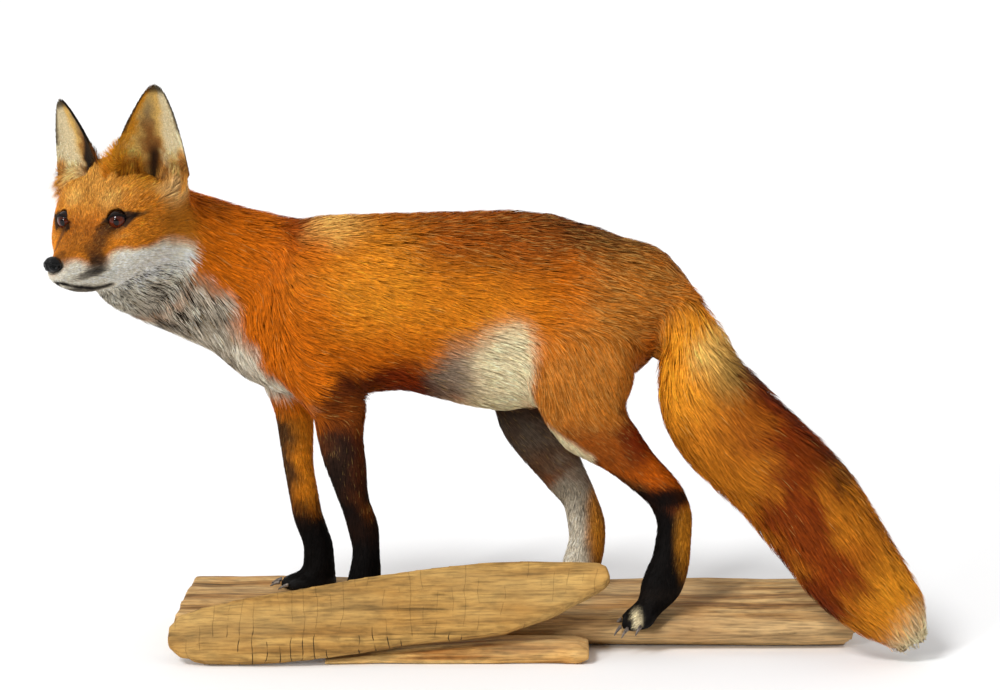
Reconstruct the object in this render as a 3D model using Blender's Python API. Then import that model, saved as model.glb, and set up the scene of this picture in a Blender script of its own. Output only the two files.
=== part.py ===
"""Mounted red fox standing on three pieces of driftwood, life size.

The fox faces -X and turns its head to its left, towards -Y. Z is up and the driftwood
stands on z = 0. Flesh is lofted from short tables of cross-sections, fused into one
closed body, thinned to facets and then parted into named pieces. Eyes, ears, nose, claws
and the wood are solids of their own. Tables are in millimetres, meshes in metres.
"""

import math
from dataclasses import dataclass

import bmesh
import bpy
import numpy as np
from mathutils import Matrix, Vector

MM = 0.001
GAP = 0.35 * MM  # between two pieces that touch
VOXEL = 3.2 * MM  # of the fused body, before it is thinned
SMOOTHING = 7
FLESH_FACETS = 3650
FINE = 0.08  # how much more detail the head and paws keep
FINE_HEAD, FINE_PAWS, FINE_FADE = 80, 85, 40  # distance from the eyes, height of the paws, and the fade past them

LEFT, RIGHT = "left", "right"
SIDES = (LEFT, RIGHT)

# Head pose: turned to the fox's left, nose a little down, right side a little down.
HEAD_YAW = math.radians(60)
HEAD_PITCH = math.radians(13)
HEAD_ROLL = math.radians(4)
BETWEEN_EYES = Vector((-393, -100, 439))

# Trunk sections: x, y, top, bottom, half width.
TRUNK = (
    (188, -5, 361, 338, 18),
    (174, -2, 383, 322, 33),
    (150, 0, 407, 300, 46),
    (120, 0, 422, 268, 57),
    (80, 0, 428, 246, 62),
    (40, 0, 436, 235, 63),
    (0, 0, 438, 230, 62),
    (-50, 0, 437, 243, 66),
    (-100, 0, 435, 252, 70),
    (-150, 0, 433, 247, 73),
    (-200, 0, 432, 246, 73),
    (-240, 0, 435, 271, 64),
    (-275, -2, 434, 305, 50),
    (-298, -4, 416, 334, 30),
)

# Neck sections: x, y, z of the middle, half width, nape, throat, turn in degrees.
NECK = (
    (-215, 0, 340, 66, 88, 80, 0),
    (-252, -3, 356, 64, 84, 74, 8),
    (-286, -13, 374, 60, 76, 74, 20),
    (-318, -29, 394, 57, 69, 77, 36),
    (-345, -46, 412, 54, 61, 80, 50),
    (-362, -60, 422, 48, 54, 76, 58),
)

# Head sections in the head's own frame: distance in front of the eyes, half width, top, bottom.
SKULL = (
    (-86, 32, 16, -42),
    (-76, 46, 33, -58),
    (-60, 57, 45, -66),
    (-42, 62, 49, -70),
    (-22, 64, 39, -71),
    (-6, 59, 22, -70),
    (8, 50, 7, -68),
    (22, 39.5, -4, -65),
    (38, 28, -11, -61),
    (52, 20, -15, -55),
    (62, 15, -17, -49),
    (69, 11.5, -18, -43),
)
CHEEK = (-38, 33, -33)  # forward, sideways, up
CHEEK_RADII = (46, 31, 40)

EYE_PLACE = (-1, 30.7, -2)  # forward, sideways, up
EYE_RADIUS = 10.2
EYE_RINGS = 6

NOSE_PLACE = (70, -22)
NOSE_RADII = (8.5, 9.5, 8)

# The mouth line in the head's frame: forward and up, at the front and at the corner.
MOUTH = ((70, -38), (-5, -64))
JAW_BACK = -8

# Where the head leaves the neck, and the neck the trunk.
HEAD_CUT = (-70, 0, -10)
HEAD_CUT_LEAN = 0.55
NECK_CUT = (-252, 0, 355)
NECK_CUT_NORMAL = (-0.86, -0.10, 0.50)
TAIL_CUT_ROW = 2  # of the tail's sections
TAIL_REACH = 1.12  # how far the tail's own space stands out round it

# Ears in the head's frame: the root's middle and the tip; the right one is laid back.
EAR_ROOT = {LEFT: (-50, 44, 24), RIGHT: (-52, -48, 22)}
EAR_TIP = {LEFT: (-49, 71, 118), RIGHT: (-67, -62, 101)}
EAR_OPENING = {LEFT: math.radians(35), RIGHT: math.radians(21)}
EAR_MOUND = (-60, 43, 8)  # the fur round the ear's root
EAR_MOUND_RADII = (31, 31, 31)
EAR_HALF_WIDTH = {LEFT: 39, RIGHT: 42}
EAR_TIP_HALF = 3
EAR_CUP = 24
EAR_WALL = 3.0
EAR_ROOT_FILL = 9  # how much thicker the ear is at its root
EAR_ROWS, EAR_COLUMNS = 7, 6


# The front legs' space beside the middle plane: near, far, inner, outer, under and top.
FRONT_LEG_SPACE = (-260, -100, 1, 120, -10, 232)
THIGH_FRONT = {LEFT: 14, RIGHT: -20}
FRONT_LEG_CUTS = ((118, "forearm"), (66, "front_pastern"))
THIGH_BACK = 215
HIP_PLANE = ((236, 1.0, 0), (300, 40, 14), (334, 92, 34))  # z, distance out, set back
HIND_LEG_CUTS = ((236, "thigh"), (150, "shank"), (62, "hind_pastern"))


@dataclass(frozen=True)
class Limb:
    """A leg: sections of x, y, z, half width across, ahead of and behind the middle."""

    side: str
    place: str
    sections: tuple
    heel: tuple
    heading: tuple


# Paw sizes: length, width, height.
PAW = {"front": (58, 41, 25), "hind": (53, 37, 23)}
TOES = 4
TOE_REACH = (0.80, 0.97, 0.97, 0.80)
CLAW_LENGTH = 15
CLAW_RADIUS = 2.3
CLAW_DROOP = math.radians(48)
CLAW_SIDES, CLAW_RINGS = 5, 3

LIMBS = (
    Limb(
        LEFT,
        "front",
        (
            (-196, -34, 345, 36, 40, 45),
            (-188, -42, 300, 33, 42, 44),
            (-168, -46, 262, 27, 34, 36),
            (-157, -46, 240, 21, 31, 28),
            (-156, -45, 220, 18, 29, 22),
            (-151, -44, 180, 16, 23, 21),
            (-145, -43, 148, 14.5, 17, 17),
            (-137, -42, 125, 15, 17, 18),
            (-133, -42, 100, 14, 16, 16),
            (-134, -42, 74, 15, 18, 17),
            (-137, -42, 56, 16, 19, 16),
        ),
        (-121, -42, 49),
        (-1, -0.05, 0),
    ),
    Limb(
        RIGHT,
        "front",
        (
            (-200, 34, 345, 36, 40, 45),
            (-205, 40, 300, 33, 38, 40),
            (-210, 44, 262, 26, 38, 32),
            (-208, 42, 232, 19, 26, 21),
            (-207, 41, 210, 18, 21, 20),
            (-205, 40, 170, 15.5, 18, 17),
            (-199, 39, 130, 15, 17, 17),
            (-193, 38, 107, 14, 17, 16),
            (-186, 38, 84, 15, 17, 17),
            (-184, 38, 60, 16, 18, 17),
        ),
        (-169, 38, 48),
        (-1, 0.05, 0),
    ),
    Limb(
        LEFT,
        "hind",
        (
            (102, -30, 350, 30, 54, 50),
            (90, -38, 312, 33, 64, 49),
            (84, -42, 280, 32, 62, 51),
            (84, -43, 252, 28, 50, 53),
            (95, -43, 226, 24, 42, 37),
            (118, -43, 201, 20, 28, 29),
            (142, -43, 179, 17, 23, 22),
            (165, -44, 156, 15, 21, 20),
            (173, -45, 134, 14.5, 20, 20),
            (173, -46, 109, 14, 20, 19.5),
            (170, -48, 88, 15, 21, 21),
            (163, -51, 68, 16, 23, 22),
            (155, -54, 53, 15, 20, 18),
        ),
        (161, -50, 50),
        (-0.74, -0.50, -0.42),
    ),
    Limb(
        RIGHT,
        "hind",
        (
            (96, 30, 350, 30, 50, 50),
            (74, 38, 312, 33, 54, 54),
            (50, 42, 276, 31, 60, 50),
            (34, 43, 244, 27, 48, 42),
            (31, 44, 214, 23, 35, 32),
            (49, 44, 183, 19, 29, 29),
            (70, 44, 153, 16, 24, 22),
            (83, 44, 130, 14.5, 20, 19),
            (88, 45, 104, 14, 20, 22),
            (88, 45, 88, 14.5, 19, 22),
            (84, 45, 70, 16, 21, 23),
            (79, 45, 56, 16, 18, 21),
        ),
        (92, 45, 47),
        (-1, 0.04, 0),
    ),
)

# Tail sections: x, y, z, radius.
TAIL = (
    (150, 0, 354, 24),
    (174, -8, 340, 29),
    (187, -16, 323, 31),
    (197, -25, 303, 36),
    (199, -34, 282, 45),
    (206, -45, 258, 54),
    (221, -57, 233, 58),
    (247, -68, 207, 58),
    (277, -77, 180, 58),
    (304, -83, 149, 58),
    (325, -88, 120, 56),
    (345, -92, 92, 53),
    (365, -95, 69, 48),
    (384, -97, 50, 41),
    (398, -98, 32, 32),
    (405, -98, 20, 22),
)

# The long log: x of both ends, and its section as y, z, starting under its front.
LOG_ENDS = (-327, 356)
LOG_END_SLANT = 9  # how far the left end's back edge lies inside its front edge
LOG_END_CHAMFER = 9  # how far the right end's edges are worn back
LOG_SECTION = (
    (-38, 0),
    (-56, 8),
    (-65, 18),
    (-61, 26.5),
    (-46, 33),
    (-22, 36.5),
    (10, 38.5),
    (45, 40.5),
    (72, 42.5),
    (86, 41),
    (91, 27),
    (88, 10),
    (80, 0),
    (15, 0),
)
LOG_RINGS = 15
LOG_HEIGHT, LOG_DEPTH = 38, 146
LOG_SWAY, LOG_RIPPLE = 2.2, 0.9  # how far the worn sides and top wander

# The slab that leans on the log's front: x, bottom, top.
SLAB = (
    (-325, 15, 36),
    (-314, 4, 46),
    (-290, -1, 54),
    (-245, -1, 63),
    (-196, 2, 71),
    (-147, 8, 80),
    (-98, 16, 87),
    (-50, 21, 93),
    (0, 27, 97),
    (44, 42, 98.5),
    (80, 60, 98),
    (100, 71, 97),
    (106, 78, 93),
)
SLAB_LEAN = math.radians(31)
SLAB_MIDDLE = (-98, 50)  # y, z of the leaning plane
SLAB_THICKNESS = 25
SLAB_END_THICKNESS = 14
SLAB_END_REACH = 50  # how far from its left end the slab reaches its full thickness

# The low board under the slab's right half: x, top.
BOARD = ((-172, 5), (-120, 11), (-60, 16), (0, 20), (50, 21), (76, 20), (88, 16))
BOARD_DEPTH = (-113, -70)  # front and back y


def material(name, colour, roughness=0.8):
    """A Principled material with one colour."""
    made = bpy.data.materials.new(name)
    made.use_nodes = True
    shader = made.node_tree.nodes["Principled BSDF"]
    shader.inputs["Base Color"].default_value = (*colour, 1)
    shader.inputs["Roughness"].default_value = roughness
    return made


FINISHES = {
    "fur": ((0.52, 0.20, 0.05), 0.9),
    "dark_fur": ((0.03, 0.02, 0.018), 0.9),
    "eye": ((0.20, 0.06, 0.015), 0.1),
    "nose": ((0.015, 0.013, 0.014), 0.4),
    "claw": ((0.06, 0.05, 0.045), 0.45),
    "log": ((0.50, 0.33, 0.18), 0.85),
    "slab": ((0.62, 0.46, 0.22), 0.85),
    "board": ((0.48, 0.27, 0.10), 0.85),
}


def keep(obj, name, finish):
    """Names a finished piece and gives it its own material."""
    obj.name = obj.data.name = name
    obj.data.materials.clear()
    obj.data.materials.append(material(name, *FINISHES[finish]))
    obj.data.shade_smooth()
    obj.data.set_sharp_from_angle(angle=math.radians(40))
    return obj


def add_object(name, vertices, faces):
    """A mesh object of triangles with outward normals."""
    mesh = bpy.data.meshes.new(name)
    mesh.from_pydata([tuple(map(float, v)) for v in vertices], [], faces)
    work = bmesh.new()
    work.from_mesh(mesh)
    bmesh.ops.triangulate(work, faces=work.faces)
    bmesh.ops.recalc_face_normals(work, faces=work.faces)
    work.to_mesh(mesh)
    work.free()
    obj = bpy.data.objects.new(name, mesh)
    bpy.context.scene.collection.objects.link(obj)
    return obj


def remove(*objects):
    """Deletes helper objects."""
    for obj in objects:
        bpy.data.objects.remove(obj)


def through(rows, steps):
    """Rows of numbers read at `steps` places per gap from a smooth curve through them."""
    rows = np.array(rows, float)
    ends = np.vstack([2 * rows[0] - rows[1], rows, 2 * rows[-1] - rows[-2]])
    out = []
    for i in range(len(rows) - 1):
        a, b, c, d = ends[i : i + 4]
        for t in np.linspace(0, 1, steps, endpoint=False):
            out.append(
                0.5
                * (
                    2 * b
                    + (c - a) * t
                    + (2 * a - 5 * b + 4 * c - d) * t**2
                    + (3 * b - a - 3 * c + d) * t**3
                )
            )
    out.append(rows[-1])
    return np.array(out)


def superellipse(angle, power):
    """The unit point of a rounded square at an angle; power 2 is a circle."""
    c, s = math.cos(angle), math.sin(angle)
    squash = 2 / power
    return (
        math.copysign(abs(c) ** squash, c),
        math.copysign(abs(s) ** squash, s),
    )


def tube(name, centres, across, widths, ups, downs, sides=22, power=2.2, cap=0.6, rounds=3, axis=None):
    """A closed tube. `across` is each section's sideways axis; ups and downs lie square to it.

    Round caps reach `cap` times the end section's size past each end. Sections lie square to
    the path, or to `axis` where one is given.
    """
    centres = [Vector(c) for c in centres]
    count = len(centres)
    rings = []
    for i, centre in enumerate(centres):
        along = axis or (centres[min(i + 1, count - 1)] - centres[max(i - 1, 0)]).normalized()
        side = Vector(across[i])
        side = (side - along * side.dot(along)).normalized()
        rings.append((centre, along, side, along.cross(side), widths[i], ups[i], downs[i]))
    capped = []
    for end, sign in ((rings[0], -1), (rings[-1], 1)):
        centre, along, side, up, width, rise, drop = end
        reach = cap * min(width, rise, drop)
        extra = []
        for k in range(1, rounds + 1):
            a = math.radians(78 * k / rounds)
            shrink = math.cos(a)
            place = centre + along * sign * reach * math.sin(a)
            extra.append((place, along, side, up, width * shrink, rise * shrink, drop * shrink))
        capped.append(extra)
    rings = capped[0][::-1] + rings + capped[1]
    vertices, faces = [], []
    for centre, _, side, up, width, rise, drop in rings:
        for j in range(sides):
            x, y = superellipse(math.tau * j / sides, power)
            vertices.append(centre + side * (x * width) + up * (y * (rise if y > 0 else drop)))
    for i in range(len(rings) - 1):
        for j in range(sides):
            k = (j + 1) % sides
            faces.append((i * sides + j, i * sides + k, (i + 1) * sides + k, (i + 1) * sides + j))
    faces.append(tuple(range(sides))[::-1])
    faces.append(tuple((len(rings) - 1) * sides + j for j in range(sides)))
    return add_object(name, [v * MM for v in vertices], faces)


def ellipsoid(name, centre, radii, axes, rings=12):
    """A closed ellipsoid with radii along three axes, in millimetres."""
    work = bmesh.new()
    bmesh.ops.create_uvsphere(work, u_segments=2 * rings, v_segments=rings, radius=1)
    turn = Matrix([Vector(a).normalized() for a in axes]).transposed()
    for v in work.verts:
        v.co = (turn @ Vector([v.co[i] * radii[i] for i in range(3)]) + Vector(centre)) * MM
    mesh = bpy.data.meshes.new(name)
    bmesh.ops.recalc_face_normals(work, faces=work.faces)
    work.to_mesh(mesh)
    work.free()
    obj = bpy.data.objects.new(name, mesh)
    bpy.context.scene.collection.objects.link(obj)
    return obj


def baked(obj):
    """Applies an object's modifiers."""
    graph = bpy.context.evaluated_depsgraph_get()
    mesh = bpy.data.meshes.new_from_object(obj.evaluated_get(graph))
    obj.modifiers.clear()
    obj.data = mesh
    return obj


def joined(name, objects):
    """One object that holds all the shells, which still overlap."""
    work = bmesh.new()
    for obj in objects:
        work.from_mesh(obj.data)
    mesh = bpy.data.meshes.new(name)
    work.to_mesh(mesh)
    work.free()
    remove(*objects)
    made = bpy.data.objects.new(name, mesh)
    bpy.context.scene.collection.objects.link(made)
    return made


def grown(obj, by=GAP):
    """A copy whose surface lies `by` outside the object's own."""
    work = bmesh.new()
    work.from_mesh(obj.data)
    work.normal_update()
    for v in work.verts:
        v.co += v.normal * by * v.calc_shell_factor()
    mesh = bpy.data.meshes.new(obj.name + "_grown")
    work.to_mesh(mesh)
    work.free()
    made = bpy.data.objects.new(mesh.name, mesh)
    made.hide_render = True
    made.display_type = "WIRE"
    bpy.context.scene.collection.objects.link(made)
    return made


def cut(obj, cutter, operation="DIFFERENCE"):
    """Cuts the object, or keeps what it shares with the cutter."""
    modifier = obj.modifiers.new("cut", "BOOLEAN")
    modifier.operation = operation
    modifier.object = cutter
    modifier.solver = "EXACT"
    return baked(obj)


def islands(obj):
    """Splits an object into its separate bodies, largest first."""
    work = bmesh.new()
    work.from_mesh(obj.data)
    left = set(work.verts)
    groups = []
    while left:
        reached, front = set(), [left.pop()]
        while front:
            vertex = front.pop()
            reached.add(vertex)
            for edge in vertex.link_edges:
                other = edge.other_vert(vertex)
                if other in left:
                    left.discard(other)
                    front.append(other)
        groups.append(reached)
    pieces = []
    for group in sorted(groups, key=len, reverse=True):
        order = {v: i for i, v in enumerate(sorted(group, key=lambda v: v.index))}
        faces = {f for v in group for f in v.link_faces}
        corners = [[order[v] for v in f.verts] for f in sorted(faces, key=lambda f: f.index)]
        pieces.append(add_object(obj.name, [v.co.copy() for v in order], corners))
    work.free()
    remove(obj)
    return pieces


def largest(obj):
    """The object's biggest body; crumbs left by a cut go."""
    first, *crumbs = islands(obj)
    remove(*crumbs)
    return first


def copy_of(obj, name):
    """A copy with its own mesh."""
    made = bpy.data.objects.new(name, obj.data.copy())
    bpy.context.scene.collection.objects.link(made)
    return made


def hull(name, points):
    """The convex solid around points given in millimetres."""
    work = bmesh.new()
    for point in points:
        work.verts.new(Vector(point) * MM)
    found = bmesh.ops.convex_hull(work, input=work.verts)
    bmesh.ops.delete(work, geom=found["geom_interior"] + found["geom_unused"], context="VERTS")
    bmesh.ops.recalc_face_normals(work, faces=work.faces)
    mesh = bpy.data.meshes.new(name)
    work.to_mesh(mesh)
    work.free()
    obj = bpy.data.objects.new(name, mesh)
    bpy.context.scene.collection.objects.link(obj)
    return obj


def box(name, low, high):
    """An upright box between two corners in millimetres."""
    corners = [(x, y, z) for x in (low[0], high[0]) for y in (low[1], high[1]) for z in (low[2], high[2])]
    return hull(name, corners)


def head_axes():
    """The head's forward, left and up axes."""
    level = Vector((-math.cos(HEAD_YAW), -math.sin(HEAD_YAW), 0))
    forward = level * math.cos(HEAD_PITCH) - Vector((0, 0, math.sin(HEAD_PITCH)))
    left = Vector((math.sin(HEAD_YAW), -math.cos(HEAD_YAW), 0))
    up = forward.cross(left)
    return (
        forward,
        left * math.cos(HEAD_ROLL) + up * math.sin(HEAD_ROLL),
        up * math.cos(HEAD_ROLL) - left * math.sin(HEAD_ROLL),
    )


def in_head(forward, sideways, up):
    """A place given in the head's frame, in millimetres."""
    f, s, u = head_axes()
    return BETWEEN_EYES + f * forward + s * sideways + u * up


def trunk_shell():
    """Chest, belly and rump."""
    rows = through(TRUNK, 4)
    centres = [(x, y, (top + bottom) / 2) for x, y, top, bottom, _ in rows]
    rise = [(top - bottom) / 2 for _, _, top, bottom, _ in rows]
    across = [(0, -1, 0)] * len(rows)
    return tube("trunk", centres, across, [r[4] for r in rows], rise, rise, power=2.15)


def neck_shell():
    """The neck with its ruff, turning with the head."""
    rows = through(NECK, 4)
    turns = [math.radians(r[6]) for r in rows]
    across = [(math.sin(t), -math.cos(t), 0) for t in turns]
    return tube("neck", rows[:, :3], across, rows[:, 3], rows[:, 4], rows[:, 5], power=2.1)


def head_shells():
    """Skull, muzzle and cheeks."""
    forward, left, up = head_axes()
    rows = through(SKULL, 4)
    centres = [in_head(f, 0, (top + bottom) / 2) for f, _, top, bottom in rows]
    rise = [(top - bottom) / 2 for _, _, top, bottom in rows]
    across = [left] * len(rows)
    widths = [r[1] for r in rows]
    shells = [tube("skull", centres, across, widths, rise, rise, power=2.3, axis=forward)]
    for sign in (1, -1):
        place = in_head(CHEEK[0], sign * CHEEK[1], CHEEK[2])
        shells.append(ellipsoid("cheek", place, CHEEK_RADII, (forward, left, up)))
        place = in_head(EAR_MOUND[0], sign * EAR_MOUND[1], EAR_MOUND[2])
        shells.append(ellipsoid("ear_mound", place, EAR_MOUND_RADII, (forward, left, up)))
    return shells


def tail_shell():
    """The brush."""
    rows = through(TAIL, 4)
    across = [(0, -1, 0)] * len(rows)
    radii = rows[:, 3]
    return tube("tail", rows[:, :3], across, radii * 0.92, radii, radii, power=2.0, cap=0.7)


def toes_of(limb):
    """Each toe's middle, forward axis and sideways axis."""
    forward = Vector(limb.heading).normalized()
    sideways = forward.cross(Vector((0, 0, 1))).normalized()
    upward = sideways.cross(forward)
    length, width, height = PAW[limb.place]
    found = []
    for i, reach in enumerate(TOE_REACH):
        offset = (i - (TOES - 1) / 2) * 0.27
        aim = (forward + sideways * offset * 0.35).normalized()
        middle = Vector(limb.heel) + forward * (reach - 0.22) * length + sideways * offset * width
        found.append((middle - upward * 0.10 * height, aim, sideways, upward))
    return found


def limb_shells(limb):
    """A leg with its paw."""
    rows = through(limb.sections, 4)
    across = [(0, -1, 0)] * len(rows)
    shells = [tube("leg", rows[:, :3], across, rows[:, 3], rows[:, 4], rows[:, 5], sides=16)]
    length, width, height = PAW[limb.place]
    toes = toes_of(limb)
    _, _, sideways, upward = toes[0]
    forward = Vector(limb.heading).normalized()
    palm = Vector(limb.heel) + forward * 0.36 * length
    radii = (0.42 * length, 0.44 * width, 0.52 * height)
    shells.append(ellipsoid("palm", palm, radii, (forward, sideways, upward)))
    for middle, aim, _, _ in toes:
        radii = (0.26 * length, 0.155 * width, 0.38 * height)
        shells.append(ellipsoid("toe", middle, radii, (aim, sideways, upward)))
    return shells


def thinned(obj):
    """Fuses the shells, smooths them and leaves more facets on the head and paws."""
    fuse = obj.modifiers.new("fuse", "REMESH")
    fuse.mode = "VOXEL"
    fuse.voxel_size = VOXEL
    ease = obj.modifiers.new("ease", "SMOOTH")
    ease.factor = 0.5
    ease.iterations = SMOOTHING
    baked(obj)
    coarse = obj.vertex_groups.new(name="coarse")
    middle = BETWEEN_EYES * MM
    for v in obj.data.vertices:
        from_eyes = (v.co - middle).length / MM
        near_head = max(0.0, 1 - max(0.0, from_eyes - FINE_HEAD) / FINE_FADE)
        near_floor = max(0.0, min(1.0, (FINE_PAWS - v.co.z / MM) / FINE_FADE)) * (v.co.x / MM < THIGH_BACK)
        coarse.add([v.index], 1 - FINE * max(near_head, near_floor), "REPLACE")
    thin = obj.modifiers.new("thin", "DECIMATE")
    thin.ratio = FLESH_FACETS / sum(len(p.vertices) - 2 for p in obj.data.polygons)
    thin.vertex_group = coarse.name
    thin.vertex_group_factor = 1
    baked(obj)
    obj.vertex_groups.clear()
    return obj


def ear(side):
    """A cupped ear with a wall, open at the front and solid at its root."""
    sign = 1 if side == LEFT else -1
    forward, left, _ = head_axes()
    turn = EAR_OPENING[side] * sign
    root, tip = in_head(*EAR_ROOT[side]), in_head(*EAR_TIP[side])
    height = (tip - root).length
    axis = (tip - root).normalized()
    opening = forward * math.cos(turn) + left * math.sin(turn)
    opening = (opening - axis * opening.dot(axis)).normalized()
    sideways = axis.cross(opening)
    layers = []
    for layer in (0, 1):
        grid = []
        for i in range(EAR_ROWS):
            rise = i / (EAR_ROWS - 1)
            tip_fade = (1 - rise) ** 0.6
            half = EAR_HALF_WIDTH[side] * tip_fade + EAR_TIP_HALF
            cup = EAR_CUP * tip_fade
            wall = EAR_WALL * (1 - 0.5 * rise) + (1 - rise) ** 6 * EAR_ROOT_FILL
            row = []
            for j in range(EAR_COLUMNS + 1):
                across = 2 * j / EAR_COLUMNS - 1
                bow = cup * (1 - across * across)
                place = root + axis * (rise * (height + 4) - 4) + sideways * across * half
                place -= opening * bow
                inward = (opening - sideways * across * 0.7).normalized()
                row.append(place + inward * wall * layer * (1 - 0.35 * across * across))
            grid.append(row)
        layers.append(grid)
    columns = EAR_COLUMNS + 1
    per_layer = EAR_ROWS * columns
    vertices = [p * MM for grid in layers for row in grid for p in row]
    faces = []
    for i in range(EAR_ROWS - 1):
        for j in range(EAR_COLUMNS):
            a, b = i * columns + j, i * columns + j + 1
            c, d = b + columns, a + columns
            faces.append((a, b, c, d))
            faces.append((per_layer + d, per_layer + c, per_layer + b, per_layer + a))
    edge = [i * columns for i in range(EAR_ROWS)]
    edge += [(EAR_ROWS - 1) * columns + j for j in range(1, columns)]
    edge += [i * columns + columns - 1 for i in range(EAR_ROWS - 2, -1, -1)]
    edge += [j for j in range(columns - 2, 0, -1)]
    for a, b in zip(edge, edge[1:] + edge[:1]):
        faces.append((a, b, per_layer + b, per_layer + a))
    return add_object("ear", vertices, faces)


def claws_of(limb):
    """One curved claw at each toe."""
    made = []
    for middle, aim, sideways, upward in toes_of(limb):
        length, _, height = PAW[limb.place]
        centres = []
        place = middle + aim * 0.15 * length + upward * 0.05 * height
        for k in range(CLAW_RINGS + 1):
            bend = CLAW_DROOP * k / CLAW_RINGS
            centres.append(place.copy())
            place += (aim * math.cos(bend) - upward * math.sin(bend)) * CLAW_LENGTH / CLAW_RINGS
        taper = [CLAW_RADIUS * (1 - 0.82 * k / CLAW_RINGS) for k in range(CLAW_RINGS + 1)]
        tall = [t * 1.25 for t in taper]
        across = [sideways] * len(centres)
        made.append(tube("claw", centres, across, taper, tall, tall, CLAW_SIDES, 2.0, rounds=0))
    return made


def log_piece():
    """The long half-round log, its left end cut on a slant."""
    left_end, right_end = LOG_ENDS
    vertices, faces = [], []
    sides = len(LOG_SECTION)
    for i in range(LOG_RINGS):
        share = i / (LOG_RINGS - 1)
        for j, (y, z) in enumerate(LOG_SECTION):
            x = left_end + share * (right_end - left_end)
            height = z / LOG_HEIGHT
            if i == 0:
                x += LOG_END_SLANT * (y - LOG_SECTION[2][0]) / LOG_DEPTH
            if i == LOG_RINGS - 1:
                x -= LOG_END_CHAMFER * (2 * height - 1) ** 2
            sway = math.sin(0.017 * x + 0.9 * j)
            y_here = y + LOG_SWAY * sway + (-0.02 * x if y > 60 else 0)
            z_here = z + (LOG_RIPPLE * math.sin(0.031 * x + 1.7 * j) if z > 0 else 0)
            vertices.append((x * MM, y_here * MM, z_here * MM))
    for i in range(LOG_RINGS - 1):
        for j in range(sides):
            k = (j + 1) % sides
            faces.append((i * sides + j, i * sides + k, (i + 1) * sides + k, (i + 1) * sides + j))
    faces.append(tuple(range(sides)))
    faces.append(tuple((LOG_RINGS - 1) * sides + j for j in range(sides)))
    return add_object("log", vertices, faces)


def slab_piece():
    """The pale slab with a round left end that leans back against the log."""
    rows = SLAB
    lean = math.tan(SLAB_LEAN)
    y0, z0 = SLAB_MIDDLE
    centres, rise, thick = [], [], []
    for x, bottom, top in rows:
        z = (bottom + top) / 2
        centres.append((x, y0 + (z - z0) * lean * 0.35, z))
        rise.append((top - bottom) / 2 / math.cos(SLAB_LEAN) ** 0.5)
        edge = min(1.0, (x - SLAB[0][0] + 8) / SLAB_END_REACH)
        thick.append((SLAB_END_THICKNESS + (SLAB_THICKNESS - SLAB_END_THICKNESS) * edge) / 2)
    across = [(0, math.cos(SLAB_LEAN), -math.sin(SLAB_LEAN))] * len(rows)
    return tube("slab", centres, across, thick, rise, rise, sides=10, power=3.2, cap=0.25)


def board_piece():
    """The low board that shows under the slab."""
    front, back = BOARD_DEPTH
    vertices, faces = [], []
    for i, (x, top) in enumerate(BOARD):
        last = i == len(BOARD) - 1
        bottom = 4 if last else 0
        front_here = front + (3 * math.sin(0.05 * x))
        section = (
            (front_here + 3, bottom),
            (front_here, bottom + 0.35 * (top - bottom)),
            (front_here + 2, top - 3),
            (front_here + 8, top),
            (back - 3, top),
            (back, top - 4),
            (back, bottom),
        )
        vertices += [(x * MM, y * MM, z * MM) for y, z in section]
    sides = 7
    for i in range(len(BOARD) - 1):
        for j in range(sides):
            k = (j + 1) % sides
            faces.append((i * sides + j, i * sides + k, (i + 1) * sides + k, (i + 1) * sides + j))
    faces.append(tuple(range(sides)))
    faces.append(tuple((len(BOARD) - 1) * sides + j for j in range(sides)))
    return add_object("board", vertices, faces)


def flat_bottomed(obj):
    """Cuts off whatever hangs below the floor."""
    under = box("under", (-600, -400, -60), (600, 400, 0))
    cut(obj, under)
    remove(under)
    return obj


def thigh_region(side, front):
    """The space of a hind leg, closed above by a slanting hip plane."""
    sign = -1 if side == LEFT else 1
    inner, outer = 1.0, 130
    levels = ((-5, inner, 0), *HIP_PLANE, (HIP_PLANE[-1][0], outer, HIP_PLANE[-1][2]))
    points = []
    for z, y, slope in levels:
        points += [(front + slope, sign * y, z), (THIGH_BACK, sign * y, z)]
    points += [(front, sign * outer, -5), (THIGH_BACK, sign * outer, -5)]
    return hull("thigh_region", points)


def limb_region(limb):
    """The space of one leg below the trunk."""
    if limb.place == "hind":
        return thigh_region(limb.side, THIGH_FRONT[limb.side])
    left, right, near, far, low, top = FRONT_LEG_SPACE
    if limb.side == LEFT:
        near, far = -far, -near
    return box("leg_region", (left, near, low), (right, far, top))


def settle():
    """Moves everything so that the origin is under the middle of the whole, at the floor."""
    made = [obj for obj in bpy.data.objects if obj.type == "MESH"]
    corners = np.array([v.co for obj in made for v in obj.data.vertices])
    low, high = corners.min(axis=0), corners.max(axis=0)
    away = Vector(((low[0] + high[0]) / 2, (low[1] + high[1]) / 2, low[2]))
    for obj in made:
        obj.data.transform(Matrix.Translation(-away))


def part_off(body, region):
    """Takes the region out of the body and gives both pieces, a gap apart."""
    piece = largest(cut(copy_of(body, "piece"), region, "INTERSECT"))
    wider = grown(region)
    body = largest(cut(body, wider))
    remove(wider, region)
    return body, piece


def plane_region(point, normal, reach=400):
    """A big block on the far side of a plane, for parting a body along it."""
    normal = Vector(normal).normalized()
    side = normal.orthogonal().normalized()
    other = normal.cross(side)
    points = []
    for a in (-1, 1):
        for b in (-1, 1):
            for c in (0, 1):
                points.append(Vector(point) + side * a * reach + other * b * reach + normal * c * reach)
    return hull("plane_region", points)


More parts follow.
